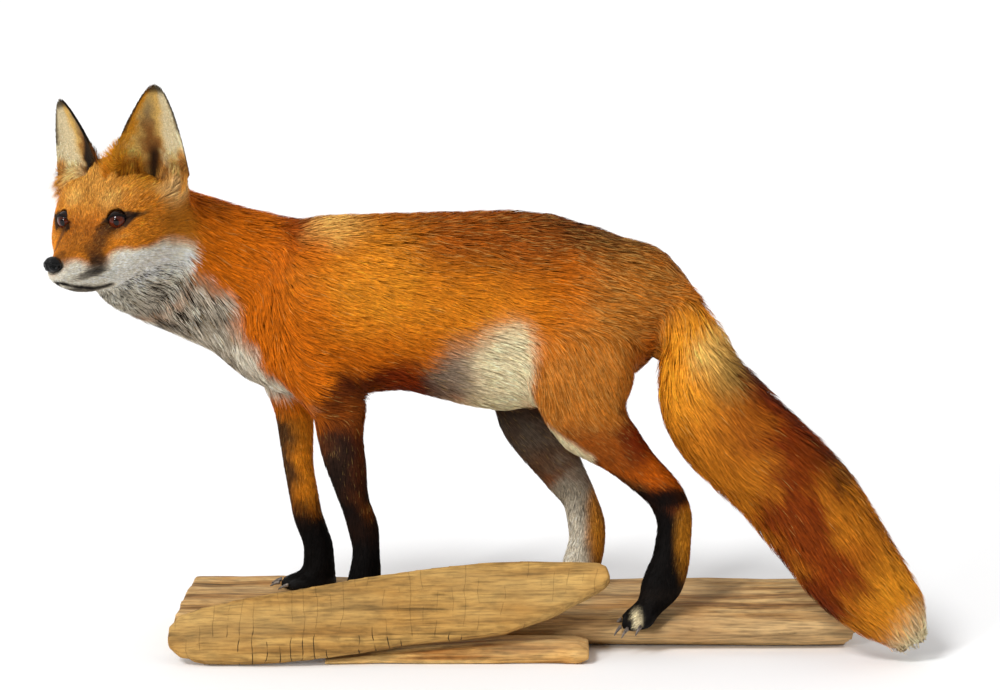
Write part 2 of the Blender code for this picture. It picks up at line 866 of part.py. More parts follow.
def part_limb(leg, limb):
    """Divides a leg across at its named levels."""
    pieces = []
    for level, name in FRONT_LEG_CUTS if limb.place == "front" else HIND_LEG_CUTS:
        leg, piece = part_off(leg, box("above", (-400, -200, level), (400, 200, 500)))
        pieces.append((name, piece))
    pieces.append((f"{limb.place}_paw", leg))
    return pieces


def eye_ball(side):
    """The eyeball."""
    sign = 1 if side == LEFT else -1
    place = in_head(EYE_PLACE[0], sign * EYE_PLACE[1], EYE_PLACE[2])
    return ellipsoid("eye", place, (EYE_RADIUS,) * 3, head_axes(), EYE_RINGS)


def nose_pad():
    """The nose leather."""
    forward, left, up = head_axes()
    place = in_head(NOSE_PLACE[0], 0, NOSE_PLACE[1])
    return ellipsoid("nose", place, NOSE_RADII, (forward, left, up), 6)


def fused_flesh():
    """Trunk, neck, head, tail and legs as one closed body."""
    shells = [trunk_shell(), neck_shell(), tail_shell(), *head_shells()]
    for limb in LIMBS:
        shells += limb_shells(limb)
    return thinned(joined("body", shells))


def tail_region():
    """The space of the tail, from its root back."""
    rows = through(TAIL[TAIL_CUT_ROW:], 2)
    across = [(0, -1, 0)] * len(rows)
    radii = rows[:, 3] * TAIL_REACH
    return tube("tail_region", rows[:, :3], across, radii, radii, radii, sides=16, power=2, cap=1)


def jaw_region():
    """The space under the mouth line."""
    (front, front_up), (corner, corner_up) = MOUTH
    slope = (front_up - corner_up) / (front - corner)
    points = []
    for forward in (JAW_BACK, front + 30):
        for side in (-70, 70):
            points.append(in_head(forward, side, corner_up + slope * (forward - corner)))
            points.append(in_head(forward, side, corner_up - 60))
    return hull("jaw_region", points)


def trim(pieces, body):
    """Cuts each piece off where it enters the body, a gap away from it."""
    wider = grown(body)
    kept = [largest(cut(piece, wider)) for piece in pieces]
    remove(wider)
    return kept


def main():
    """Builds the fox and its driftwood around one origin."""
    for obj in list(bpy.data.objects):
        bpy.data.objects.remove(obj)

    log = flat_bottomed(log_piece())
    slab = trim([flat_bottomed(slab_piece())], log)[0]
    board = trim(trim([board_piece()], log), slab)[0]
    keep(log, "base_log", "log")
    keep(slab, "base_slab", "slab")
    keep(board, "base_board", "board")

    body = fused_flesh()
    wood = grown(log)
    body = largest(cut(body, wood))
    remove(wood)

    ears = trim([ear(side) for side in SIDES], body)
    for side, piece in zip(SIDES, ears):
        keep(piece, f"ear_{side}", "dark_fur")
    for limb in LIMBS:
        for i, piece in enumerate(trim(trim(claws_of(limb), body), log)):
            keep(piece, f"claw_{limb.place}_{limb.side}_{i + 1}", "claw")
    for name, piece, finish in (
        ("eye_left", eye_ball(LEFT), "eye"),
        ("eye_right", eye_ball(RIGHT), "eye"),
        ("nose", nose_pad(), "nose"),
    ):
        socket = grown(piece)
        body = cut(body, socket)
        remove(socket)
        keep(piece, name, finish)
    body = largest(body)

    body, tail = part_off(body, tail_region())
    keep(tail, "tail", "fur")
    for limb in LIMBS:
        body, leg = part_off(body, limb_region(limb))
        for name, piece in part_limb(leg, limb):
            keep(piece, f"{name}_{limb.side}", "fur")

    forward, _, up = head_axes()
    body, head = part_off(body, plane_region(in_head(*HEAD_CUT), forward + up * HEAD_CUT_LEAN))
    body, neck = part_off(body, plane_region(NECK_CUT, NECK_CUT_NORMAL))
    head, jaw = part_off(head, jaw_region())
    keep(head, "head", "fur")
    keep(jaw, "lower_jaw", "fur")
    keep(neck, "neck", "fur")
    keep(body, "trunk", "fur")
    settle()


if __name__ == "__main__":
    main()
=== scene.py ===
"""Looks of a mounted red fox on driftwood.

One skin replaces every flesh node and lies inside them by the coat's depth. The coat is
solid tufts that follow the lie of the hair, coloured by the same markings as the skin.
Glass eyes, nose leather, claws, whiskers and the weathered wood are pieces of their own.
"""

import logging
from dataclasses import dataclass, field
from enum import Enum
from math import atan2, ceil, cos, pi, radians, sin
from typing import Callable, Sequence

import bmesh
import bpy
import numpy as np
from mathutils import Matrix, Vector
from mathutils.bvhtree import BVHTree
from mathutils.kdtree import KDTree


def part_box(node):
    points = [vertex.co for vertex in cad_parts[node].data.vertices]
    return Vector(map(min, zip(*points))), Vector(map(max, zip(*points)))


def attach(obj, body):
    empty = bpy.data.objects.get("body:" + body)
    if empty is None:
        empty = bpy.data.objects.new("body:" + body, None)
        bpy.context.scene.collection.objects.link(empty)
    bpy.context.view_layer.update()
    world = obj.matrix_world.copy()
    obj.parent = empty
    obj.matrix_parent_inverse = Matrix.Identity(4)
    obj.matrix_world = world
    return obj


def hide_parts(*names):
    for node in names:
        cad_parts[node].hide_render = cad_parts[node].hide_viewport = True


Array = np.ndarray
Socket = bpy.types.NodeSocket
Triple = tuple[float, float, float]
Object = bpy.types.Object
Material = bpy.types.Material

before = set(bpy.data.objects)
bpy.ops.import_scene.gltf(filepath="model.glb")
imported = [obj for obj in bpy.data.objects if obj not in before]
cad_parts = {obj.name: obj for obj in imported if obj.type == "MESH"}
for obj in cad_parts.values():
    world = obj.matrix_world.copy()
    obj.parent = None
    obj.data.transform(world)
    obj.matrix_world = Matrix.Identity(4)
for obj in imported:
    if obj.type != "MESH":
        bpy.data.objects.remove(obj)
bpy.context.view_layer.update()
LOG = logging.getLogger("mounted_fox")
MM = 0.001
UP = (0.0, 0.0, 1.0)

# Where the middle between the eyes lies in the body's own millimetre frame, and how far the
# nose stands ahead of and below the eyes.
EYES_IN_BODY = np.array((-386.2, -66.1, 439.0))
EYE_IN_HEAD = (-1.0, 0.0, -2.0)
NOSE_IN_HEAD = (70.0, 0.0, -22.0)

SIDES = ("left", "right")
FRONT_LEG = ("forearm", "front_pastern", "front_paw")
HIND_LEG = ("thigh", "shank", "hind_pastern", "hind_paw")
FLESH = ("trunk", "neck", "head", "lower_jaw", "tail") + tuple(
    f"{part}_{side}" for part in FRONT_LEG + HIND_LEG for side in SIDES
)
EARS = tuple(f"ear_{side}" for side in SIDES)


class Shade(Enum):
    """Colours of coat and wood, as sRGB values from 0 to 255."""

    ORANGE = (192, 98, 8)
    DEEP_ORANGE = (172, 80, 8)
    AMBER = (184, 116, 26)
    TAWNY = (200, 118, 28)
    HONEY = (212, 150, 66)
    OCHRE = (176, 104, 22)
    GOLD = (226, 148, 36)
    PALE_GOLD = (234, 188, 104)
    RUST = (112, 34, 4)
    RED_BROWN = (140, 68, 12)
    UMBER = (88, 50, 20)
    MAROON = (60, 18, 6)
    BLACK = (10, 7, 6)
    SOOT = (40, 31, 24)
    GREY = (142, 132, 114)
    OLIVE = (146, 118, 62)
    TAN = (186, 120, 46)
    CREAM = (230, 212, 170)
    WHITE = (250, 239, 216)

    def linear(self) -> Array:
        """The colour as linear red, green and blue."""
        values = np.array(self.value) / 255
        return np.where(values <= 0.04045, values / 12.92, ((values + 0.055) / 1.055) ** 2.4)

    def over(self, under: Array, share: Array, level: float = 1.0) -> Array:
        """Lays the colour over others.

        Args:
            under: rows of linear colours.
            share: how much of this colour each row takes, from 0 to 1.
            level: how bright it is laid on.

        Returns:
            The rows with the colour over them.
        """
        return blended(under, self.linear() * level, share)


# The shades by their own names, in the order above.
(
    ORANGE, DEEP_ORANGE, AMBER, TAWNY, HONEY, OCHRE, GOLD, PALE_GOLD, RUST, RED_BROWN, UMBER, MAROON,
    BLACK, SOOT, GREY, OLIVE, TAN, CREAM, WHITE,
) = Shade


def unit(vectors: Array) -> Array:
    """Vectors scaled to length one."""
    length = np.linalg.norm(vectors, axis=-1, keepdims=True)
    return vectors / np.maximum(length, 1e-12)


def step(low: float, high: float, values: Array) -> Array:
    """A smooth ramp from 0 at low to 1 at high; high may be the smaller."""
    share = np.clip((values - low) / (high - low), 0, 1)
    return share * share * (3 - 2 * share)


def blended(low: Array, high: Array, share: Array) -> Array:
    """Mixes the rows or numbers of two arrays by a share for each."""
    share = np.asarray(share)
    if share.ndim and low.ndim > 1:
        share = share[:, None]
    return low + (high - low) * share


# Large numbers that scatter the noise's cells: one for each axis, one for the seed, and the rounds
# of mixing as a shift and a factor.
HASH_AXES = (73856093, 19349663, 83492791)
HASH_SEED = 2654435
HASH_ROUNDS = ((13, 1274126177), (15, 668265263))
HASH_TOP = 0x7FFFFFFF


def lattice(cells: Array, seed: int) -> Array:
    """A repeatable random value from 0 to 1 for each row of whole numbers."""
    x, y, z = (cells[:, axis] * HASH_AXES[axis] for axis in range(3))
    mixed = x ^ y ^ z ^ (seed * HASH_SEED)
    for shift, factor in HASH_ROUNDS:
        mixed = (mixed ^ (mixed >> shift)) * factor & HASH_TOP
    return mixed / HASH_TOP


def noise(points: Array, size: float | Sequence[float], seed: int = 0, octaves: int = 1) -> Array:
    """Smooth noise from -1 to 1.

    Args:
        points: rows of x, y, z in metres.
        size: the width of one blob in metres, or one width for each axis.
        seed: picks the pattern.
        octaves: layers, each half as wide and half as strong as the last.

    Returns:
        One value for each row.
    """
    total = np.zeros(len(points))
    strength, whole = 1.0, 0.0
    for octave in range(octaves):
        places = points / (np.array(size) * 0.5**octave) + 31.7 * (seed + 1)
        cell = np.floor(places).astype(np.int64)
        part = places - cell
        part = part * part * (3 - 2 * part)
        layer = np.zeros(len(points))
        for corner in np.ndindex(2, 2, 2):
            weight = np.prod(np.where(corner, part, 1 - part), axis=1)
            layer += weight * lattice(cell + corner, seed + octave)
        total += strength * (2 * layer - 1)
        whole += strength
        strength *= 0.5
    return total / whole


@dataclass(frozen=True)
class Frame:
    """A place with three axes, which measures in millimetres."""

    origin: Array
    axes: Array

    def inside(self, points: Array) -> Array:
        """Points in metres, read along the axes in millimetres."""
        return (points - self.origin) @ self.axes.T / MM

    def outside(self, places: Sequence[float] | Array) -> Array:
        """Places along the axes in millimetres, as points in metres."""
        return self.origin + np.asarray(places, float) * MM @ self.axes

    def turned(self, directions: Sequence[float] | Array) -> Array:
        """Directions along the axes, as directions in the scene."""
        return np.asarray(directions, float) @ self.axes


def box_of(node: str) -> tuple[Array, Array]:
    """The low and high corners of a CAD node's box."""
    low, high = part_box(node)
    return np.array(low), np.array(high)


def middle_of(node: str) -> Array:
    """The middle of a CAD node's box."""
    low, high = box_of(node)
    return (low + high) / 2


def head_frame() -> Frame:
    """The head's frame: forward, left and up, measured from between the eyes."""
    left = unit(middle_of("eye_left") - middle_of("eye_right"))
    eyes = (middle_of("eye_left") + middle_of("eye_right")) / 2
    ahead = NOSE_IN_HEAD[0] - EYE_IN_HEAD[0]
    drop = EYE_IN_HEAD[2] - NOSE_IN_HEAD[2]
    aim = middle_of("nose") - eyes
    aim = unit(aim - left * (aim @ left))
    slope = atan2(drop, ahead)
    rise = np.cross(aim, left)
    forward = unit(aim * cos(slope) + rise * sin(slope))
    up = np.cross(forward, left)
    axes = np.array((forward, left, up))
    return Frame(eyes - np.array(EYE_IN_HEAD) * MM @ axes, axes)


HEAD = head_frame()
BODY = Frame(HEAD.origin - EYES_IN_BODY * MM, np.eye(3))


def linked(name: str, data: bpy.types.ID) -> Object:
    """A new object, linked to the scene."""
    obj = bpy.data.objects.new(name, data)
    bpy.context.scene.collection.objects.link(obj)
    return obj


def mesh_object(name: str, points: Array, triangles: Array) -> Object:
    """A mesh object of triangles.

    Args:
        name: the piece's name.
        points: rows of x, y, z in metres.
        triangles: rows of three point numbers.

    Returns:
        The object, linked to the scene.
    """
    mesh = bpy.data.meshes.new(name)
    mesh.vertices.add(len(points))
    mesh.vertices.foreach_set("co", np.ascontiguousarray(points, np.float32).ravel())
    mesh.loops.add(3 * len(triangles))
    mesh.loops.foreach_set("vertex_index", np.ascontiguousarray(triangles, np.int32).ravel())
    mesh.polygons.add(len(triangles))
    mesh.polygons.foreach_set("loop_start", np.arange(0, 3 * len(triangles), 3, dtype=np.int32))
    mesh.update(calc_edges=True)
    mesh.shade_smooth()
    return linked(name, mesh)


def read_mesh(mesh: bpy.types.Mesh) -> tuple[Array, Array]:
    """A mesh's points and triangles as arrays."""
    points = np.empty(3 * len(mesh.vertices), np.float32)
    mesh.vertices.foreach_get("co", points)
    mesh.calc_loop_triangles()
    triangles = np.empty(3 * len(mesh.loop_triangles), np.int32)
    mesh.loop_triangles.foreach_get("vertices", triangles)
    return points.reshape(-1, 3).astype(float), triangles.reshape(-1, 3)


def point_normals(points: Array, triangles: Array) -> Array:
    """Unit normals at the points, weighted by face area."""
    corners = points[triangles]
    faces = np.cross(corners[:, 1] - corners[:, 0], corners[:, 2] - corners[:, 0])
    normals = np.zeros_like(points)
    for axis in range(3):
        for corner in range(3):
            normals[:, axis] += np.bincount(triangles[:, corner], faces[:, axis], len(points))
    return unit(normals)


def spread(values: Array, triangles: Array, passes: int) -> Array:
    """Averages each point's value with its neighbours', again and again.

    Args:
        values: one number or row for each point.
        triangles: rows of three point numbers.
        passes: how many times.

    Returns:
        The averaged values.
    """
    ends = np.concatenate([triangles[:, (0, 1)], triangles[:, (1, 2)], triangles[:, (2, 0)]])
    count = len(values)
    degree = sum(np.bincount(ends[:, end], minlength=count) for end in (0, 1))
    degree = np.maximum(degree, 1)
    flat = values.reshape(count, -1).copy()
    for _ in range(passes):
        for column in range(flat.shape[1]):
            kept = flat[:, column]
            total = np.bincount(ends[:, 0], kept[ends[:, 1]], count)
            total += np.bincount(ends[:, 1], kept[ends[:, 0]], count)
            flat[:, column] = 0.5 * kept + 0.5 * total / degree
    return flat.reshape(values.shape)


def split_quads(quads: Array) -> Array:
    """Two triangles for each row of four corners."""
    return np.concatenate((quads[:, (0, 1, 2)], quads[:, (0, 2, 3)]))


def ring_quads(rings: int, segments: int) -> Array:
    """The faces between rings of points that each close on themselves."""
    here, onward = np.arange(segments), np.roll(np.arange(segments), -1)
    quads = np.stack((here, onward, onward + segments, here + segments), axis=1)
    return np.concatenate([quads + ring * segments for ring in range(rings - 1)])


def fused(nodes: Sequence[str], voxel: float, smoothing: int) -> tuple[Array, Array]:
    """One closed surface around several CAD nodes.

    Args:
        nodes: the CAD nodes to fuse.
        voxel: size of the cells it is rebuilt from, in metres.
        smoothing: how many times it is smoothed.

    Returns:
        Its points and triangles.
    """
    work = bmesh.new()
    for node in nodes:
        work.from_mesh(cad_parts[node].data)
    bmesh.ops.remove_doubles(work, verts=work.verts, dist=1e-6)
    mesh = bpy.data.meshes.new("form")
    work.to_mesh(mesh)
    work.free()
    obj = linked("form", mesh)
    remesh = obj.modifiers.new("fuse", "REMESH")
    remesh.mode = "VOXEL"
    remesh.voxel_size = voxel
    ease = obj.modifiers.new("ease", "SMOOTH")
    ease.factor = 0.5
    ease.iterations = smoothing
    graph = bpy.context.evaluated_depsgraph_get()
    surface = read_mesh(bpy.data.meshes.new_from_object(obj.evaluated_get(graph)))
    bpy.data.objects.remove(obj)
    return surface


def paint(obj: Object, name: str, colours: Array) -> None:
    """Stores one linear colour for each point of a mesh."""
    layer = obj.data.color_attributes.new(name, "FLOAT_COLOR", "POINT")
    rows = np.ones((len(colours), 4), np.float32)
    rows[:, :3] = colours
    layer.data.foreach_set("color", rows.ravel())


def note(obj: Object, name: str, values: Array) -> None:
    """Stores one number, or one row of three, for each point of a mesh."""
    kind, key = ("FLOAT", "value") if values.ndim == 1 else ("FLOAT_VECTOR", "vector")
    layer = obj.data.attributes.new(name, kind, "POINT")
    layer.data.foreach_set(key, values.astype(np.float32).ravel())


def placed(obj: Object, slot: str, material: Material, *nodes: str) -> None:
    """Dresses a finished piece, and makes it ride with the mount.

    Args:
        obj: the piece.
        slot: not used.
        material: its finish.
        nodes: the CAD nodes that it replaces.
    """
    obj.data.materials.clear()
    obj.data.materials.append(material)
    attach(obj, "root")
    if nodes:
        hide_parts(*nodes)
    LOG.info("%s: %d points, %d faces", obj.name, len(obj.data.vertices), len(obj.data.polygons))


# ---- finishes


class Nodes:
    """A short way to write a material's nodes."""

    def __init__(self, name: str) -> None:
        """Starts a material with an empty Principled shader."""
        self.material = bpy.data.materials.new(name)
        self.material.use_nodes = True
        self.tree = self.material.node_tree
        self.shader = self.tree.nodes["Principled BSDF"]
        self.coordinates = self.tree.nodes.new("ShaderNodeTexCoord").outputs["Object"]

    def add(self, kind: str, **settings: object) -> bpy.types.Node:
        """Adds a node and sets its properties."""
        node = self.tree.nodes.new(kind)
        for name, value in settings.items():
            setattr(node, name, value)
        return node

    def link(self, source: Socket, target: Socket) -> None:
        """Joins two sockets."""
        self.tree.links.new(source, target)

    def finished(self, colour: Socket, rough: Socket | float, specular: float = 0.5) -> Material:
        """Joins the material's values to its shader.

        Args:
            colour: the base colour.
            rough: the roughness, as a socket or one number.
            specular: how strongly it mirrors.

        Returns:
            The material.
        """
        inputs = self.shader.inputs
        self.link(colour, inputs["Base Color"])
        if isinstance(rough, float):
            inputs["Roughness"].default_value = rough
        else:
            self.link(rough, inputs["Roughness"])
        inputs["Specular IOR Level"].default_value = specular
        return self.material

    def attribute(self, name: str, output: str = "Color") -> Socket:
        """A value stored on the mesh."""
        return self.add("ShaderNodeAttribute", attribute_name=name).outputs[output]

    def stretched(self, scale: Sequence[float]) -> Socket:
        """Object coordinates with a scale for each axis."""
        mapping = self.add("ShaderNodeMapping")
        mapping.inputs["Scale"].default_value = scale
        self.link(self.coordinates, mapping.inputs["Vector"])
        return mapping.outputs["Vector"]

    def noise(self, scale: float, detail: float = 3, vector: Socket | None = None) -> Socket:
        """A noise texture's value."""
        node = self.add("ShaderNodeTexNoise")
        node.inputs["Scale"].default_value = scale
        node.inputs["Detail"].default_value = detail
        self.link(vector or self.coordinates, node.inputs["Vector"])
        return node.outputs[0]

    def ramp(self, value: Socket, *stops: tuple[float, Sequence[float]]) -> Socket:
        """Colours by value."""
        node = self.add("ShaderNodeValToRGB")
        while len(node.color_ramp.elements) < len(stops):
            node.color_ramp.elements.new(0.5)
        for element, (place, colour) in zip(node.color_ramp.elements, stops):
            element.position = place
            element.color = (*colour, 1)
        self.link(value, node.inputs[0])
        return node.outputs["Color"]

    def grey_ramp(self, value: Socket, *stops: tuple[float, float]) -> Socket:
        """Grey levels by value."""
        return self.ramp(value, *((place, (level,) * 3) for place, level in stops))

    def math(self, how: str, *values: Socket | float) -> Socket:
        """One sum of up to three values."""
        node = self.add("ShaderNodeMath", operation=how)
        for value, target in zip(values, node.inputs):
            if isinstance(value, float):
                target.default_value = value
            else:
                self.link(value, target)
        return node.outputs[0]

    def multiply(self, first: Socket, second: Socket, share: float = 1.0) -> Socket:
        """Darkens one colour by another."""
        return self.mix(first, second, share, "MULTIPLY")

    def mix(self, first: Socket, second: Socket, share: Socket | float, how: str = "MIX") -> Socket:
        """Mixes two colours."""
        node = self.add("ShaderNodeMix", data_type="RGBA", blend_type=how)
        if isinstance(share, float):
            node.inputs[0].default_value = share
        else:
            self.link(share, node.inputs[0])
        self.link(first, node.inputs[6])
        self.link(second, node.inputs[7])
        return node.outputs[2]

    def bump(self, height: Socket, distance: float, strength: float = 1.0) -> None:
        """Adds a height to the shader's normal."""
        node = self.add("ShaderNodeBump")
        node.inputs["Strength"].default_value = strength
        node.inputs["Distance"].default_value = distance
        self.link(height, node.inputs["Height"])
        current = self.shader.inputs["Normal"]
        if current.is_linked:
            self.link(current.links[0].from_socket, node.inputs["Normal"])
        self.link(node.outputs["Normal"], current)


@dataclass(frozen=True)
class CoatFinish:
    """Hair: the marking's colour with fine streaks along it."""

    name: str = "fox_coat"
    roughness: float = 0.62
    specular: float = 0.07
    streaks: float = 260.0

    def make(self) -> Material:
        """Builds the material."""
        nodes = Nodes(self.name)
        fine = nodes.noise(self.streaks, 3)
        colour = nodes.multiply(nodes.attribute("coat"), nodes.grey_ramp(fine, (0.3, 0.72), (0.7, 1.0)))
        rough = nodes.grey_ramp(fine, (0.2, self.roughness - 0.08), (0.8, self.roughness + 0.1))
        return nodes.finished(colour, rough, self.specular)


@dataclass(frozen=True)
class SkinFinish:
    """The tanned skin under the coat, and the bare lids and lips."""

    name: str = "tanned_skin"
    grain: float = 700.0
    specular: float = 0.12

    def make(self) -> Material:
        """Builds the material."""
        nodes = Nodes(self.name)
        grain = nodes.noise(self.grain, 4)
        colour = nodes.multiply(nodes.attribute("coat"), nodes.grey_ramp(grain, (0.3, 0.6), (0.75, 1.0)))
        nodes.bump(grain, 0.0004)
        return nodes.finished(colour, nodes.grey_ramp(grain, (0.2, 0.5), (0.8, 0.8)), self.specular)


@dataclass(frozen=True)
class EyeFinish:
    """A glass eye: dark pupil, streaked amber iris with painted light below and a painted lid shadow towards
    its top, and near-black rim under a clear gloss.
    """

    name: str = "glass_eye"
    pupil: tuple[float, float] = (0.30, 0.42)
    iris: float = 0.80
    roughness: float = 0.03
    specular: float = 0.28
    amber: tuple[tuple[float, Triple], ...] = (
        (0.3, (0.03, 0.004, 0.002)), (0.5, (0.10, 0.014, 0.004)), (0.7, (0.22, 0.040, 0.010)),
    )
    black: Triple = (0.004, 0.002, 0.002)

    def make(self) -> Material:
        """Builds the material from the stored places ahead of the eye."""
        nodes = Nodes(self.name)
        split = nodes.add("ShaderNodeSeparateXYZ")
        nodes.link(nodes.attribute("look", "Vector"), split.inputs[0])
        across, rise = split.outputs["X"], split.outputs["Y"]

        def length(width: float, height: float) -> Socket:
            """Distance from the middle in an oval's own measure."""
            joined = nodes.add("ShaderNodeCombineXYZ")
            nodes.link(nodes.math("DIVIDE", across, width), joined.inputs["X"])
            nodes.link(nodes.math("DIVIDE", rise, height), joined.inputs["Y"])
            norm = nodes.add("ShaderNodeVectorMath", operation="LENGTH")
            nodes.link(joined.outputs[0], norm.inputs[0])
            return norm.outputs["Value"]

        ring = length(1.0, 1.0)
        polar = nodes.add("ShaderNodeCombineXYZ")
        nodes.link(nodes.math("ARCTAN2", rise, across), polar.inputs["X"])
        nodes.link(ring, polar.inputs["Y"])
        iris = nodes.ramp(nodes.noise(9.0, 4, polar.outputs[0]), *self.amber)
        # Painted light and shade on the iris: bright below, as if lit through the glass, and darker towards
        # the top as the upper lid's painted shadow.
        painted_light_and_lid_shadow = nodes.ramp(rise, (0.0, (0.9, 0.9, 0.9)), (0.5, (0.22, 0.20, 0.20)))
        dark = nodes.ramp(ring, (0.0, self.black), (1.0, self.black))
        rim = nodes.grey_ramp(ring, (self.iris - 0.14, 0.0), (self.iris, 1.0))
        pupil = nodes.grey_ramp(length(*self.pupil), (0.75, 1.0), (1.0, 0.0))
        colour = nodes.mix(nodes.mix(nodes.multiply(iris, painted_light_and_lid_shadow), dark, rim), dark, pupil)
        return nodes.finished(colour, self.roughness, self.specular)


@dataclass(frozen=True)
class NoseFinish:
    """Black nose leather, finely pebbled and a little damp."""

    name: str = "nose_leather"
    pebbles: float = 900.0
    specular: float = 0.20

    def make(self) -> Material:
        """Builds the material."""
        nodes = Nodes(self.name)
        cells = nodes.add("ShaderNodeTexVoronoi")
        cells.inputs["Scale"].default_value = self.pebbles
        nodes.link(nodes.coordinates, cells.inputs["Vector"])
        pebble = cells.outputs["Distance"]
        nodes.bump(pebble, 0.00035, 0.7)
        tone = nodes.grey_ramp(nodes.noise(260.0, 3), (0.3, 0.001), (0.7, 0.004))
        return nodes.finished(tone, nodes.grey_ramp(pebble, (0.0, 0.09), (0.8, 0.24)), self.specular)


@dataclass(frozen=True)
class HornFinish:
    """Claws and whiskers: horn mottled between a dark and a paler tone."""

    name: str
    dark: Triple
    pale: Triple

    def make(self) -> Material:
        """Builds the material."""
        nodes = Nodes(self.name)
        tone = nodes.ramp(nodes.noise(240.0, 4), (0.35, self.dark), (0.7, self.pale))
        lines = nodes.noise(1400.0, 2)
        nodes.bump(lines, 0.0001)
        return nodes.finished(tone, nodes.grey_ramp(lines, (0.2, 0.3), (0.8, 0.5)))


@dataclass(frozen=True)
class WoodFinish:
    """Bare weathered wood with its grain along x."""

    name: str
    dark: Triple
    middle: Triple
    pale: Triple
    stain: Triple
    weathered: Triple
    weathering: float = 0.5
    fibre: float = 0.8
    fissures: float = 0.0
    specular: float = 0.2

    def make(self) -> Material:
        """Builds the material."""
        nodes = Nodes(self.name)
        bands = nodes.noise(9.0, 8, nodes.stretched((0.55, 8.0, 8.0)))
        fibre = nodes.noise(60.0, 8, nodes.stretched((0.55, 8.0, 8.0)))
        lines = nodes.noise(22.0, 6, nodes.stretched((0.35, 11.0, 11.0)))
        blotch = nodes.noise(16.0, 5)
        mottle = nodes.noise(110.0, 8, nodes.stretched((0.7, 1.3, 1.3)))
        patchy = nodes.noise(9.0, 6, nodes.stretched((0.5, 2.2, 2.2)))
        colour = nodes.ramp(bands, (0.34, self.dark), (0.48, self.middle), (0.64, self.pale))
        colour = nodes.multiply(colour, nodes.grey_ramp(fibre, (0.36, 0.45), (0.54, 1.0)), self.fibre)
        colour = nodes.multiply(colour, nodes.grey_ramp(mottle, (0.32, 0.62), (0.56, 1.0)), 0.8)
        dark_lines = nodes.grey_ramp(lines, (0.30, 0.25), (0.37, 1.0))
        colour = nodes.multiply(colour, dark_lines, self.fibre)
        stained = nodes.ramp(blotch, (0.0, self.stain), (1.0, self.stain))
        colour = nodes.mix(colour, stained, nodes.grey_ramp(blotch, (0.52, 0.0), (0.70, 0.5)))
        shaded = tuple(0.6 * value for value in self.weathered)
        grey = nodes.ramp(fibre, (0.35, shaded), (0.6, self.weathered))
        colour = nodes.mix(colour, grey, nodes.grey_ramp(patchy, (0.46, 0.0), (0.62, self.weathering)))
        grooves = nodes.grey_ramp(nodes.attribute("groove", "Fac"), (0.0, 1.0), (0.9, 0.10))
        colour = nodes.multiply(colour, grooves)
        nodes.bump(fibre, 0.0012, 0.9)
        nodes.bump(mottle, 0.0006, 0.7)
        nodes.bump(dark_lines, 0.0008, 0.8)
        # Painted shade: the open fissures are darkened, not cut in.
        if self.fissures:
            open_wood = self.open_wood(nodes)
            colour = nodes.multiply(colour, open_wood)
            nodes.bump(open_wood, 0.0015)
        return nodes.finished(colour, nodes.grey_ramp(fibre, (0.2, 0.62), (0.8, 0.9)), self.specular)

    def open_wood(self, nodes: Nodes) -> Socket:
        """Fine fissures side by side up the end of the wood, with painted shade inside them where they stand
        open.
        """
        place = nodes.add("ShaderNodeSeparateXYZ")
        nodes.link(nodes.coordinates, place.inputs[0])
        sway = nodes.math("MULTIPLY", nodes.noise(13.0, 3, nodes.stretched((1.0, 0.6, 1.0))), 2.6)
        comb = nodes.math("MULTIPLY_ADD", place.outputs["X"], 78.0, sway)
        thin = nodes.grey_ramp(nodes.math("FRACT", comb), (0.0, 0.0), (0.02, 1.0), (0.05, 1.0), (0.08, 0.0))
        spans = nodes.noise(1.0, 2, nodes.stretched((60.0, 9.0, 45.0)))
        spans = nodes.grey_ramp(spans, (0.47, 0.0), (0.55, 1.0))
        shown = nodes.multiply(thin, nodes.multiply(nodes.attribute("band", "Fac"), spans))
        return nodes.grey_ramp(shown, (0.1, 1.0), (0.8, 1.0 - self.fissures))


# ---- markings


@dataclass(frozen=True)
class Marking:
    """A patch of colour with a ragged edge, in millimetres of its own frame."""

    shade: Shade
    place: Triple
    reach: Triple
    strength: float = 1.0
    soft: float = 0.35
    ragged: float = 0.3

    def weight(self, places: Array, rough: Array) -> Array:
        """How strongly the patch covers each place."""
        away = (places - np.array(self.place)) / np.array(self.reach)
        distance = np.sqrt((away * away).sum(axis=1)) + self.ragged * rough
        return self.strength * (1 - step(1 - self.soft, 1 + self.soft, distance))


def marks(*rows: tuple) -> tuple[Marking, ...]:
    """Makes markings from rows of their values.

    Args:
        rows: shade, place, reach and so on; a place and reach of two numbers are x and z, right through.

    Returns:
        The markings in the order that they are laid on.
    """
    made = []
    for shade, place, reach, *rest in rows:
        if len(place) == 2:
            place, reach = (place[0], 0, place[1]), (reach[0], 1e6, reach[1])
        made.append(Marking(shade, place, reach, *rest))
    return tuple(made)


def marked(base: Array, markings: Sequence[Marking], places: Array, rough: Array, cover: Array) -> Array:
    """Lays markings over colours.

    Args:
        base: rows of linear colour.
        markings: the markings in order.
        places: each row's place in the markings' millimetres.
        rough: noise that makes their edges ragged.
        cover: where they may lie, from 0 to 1.

    Returns:
        The colours with the markings on them.
    """
    for marking in markings:
        base = marking.shade.over(base, marking.weight(places, rough) * cover)
    return base


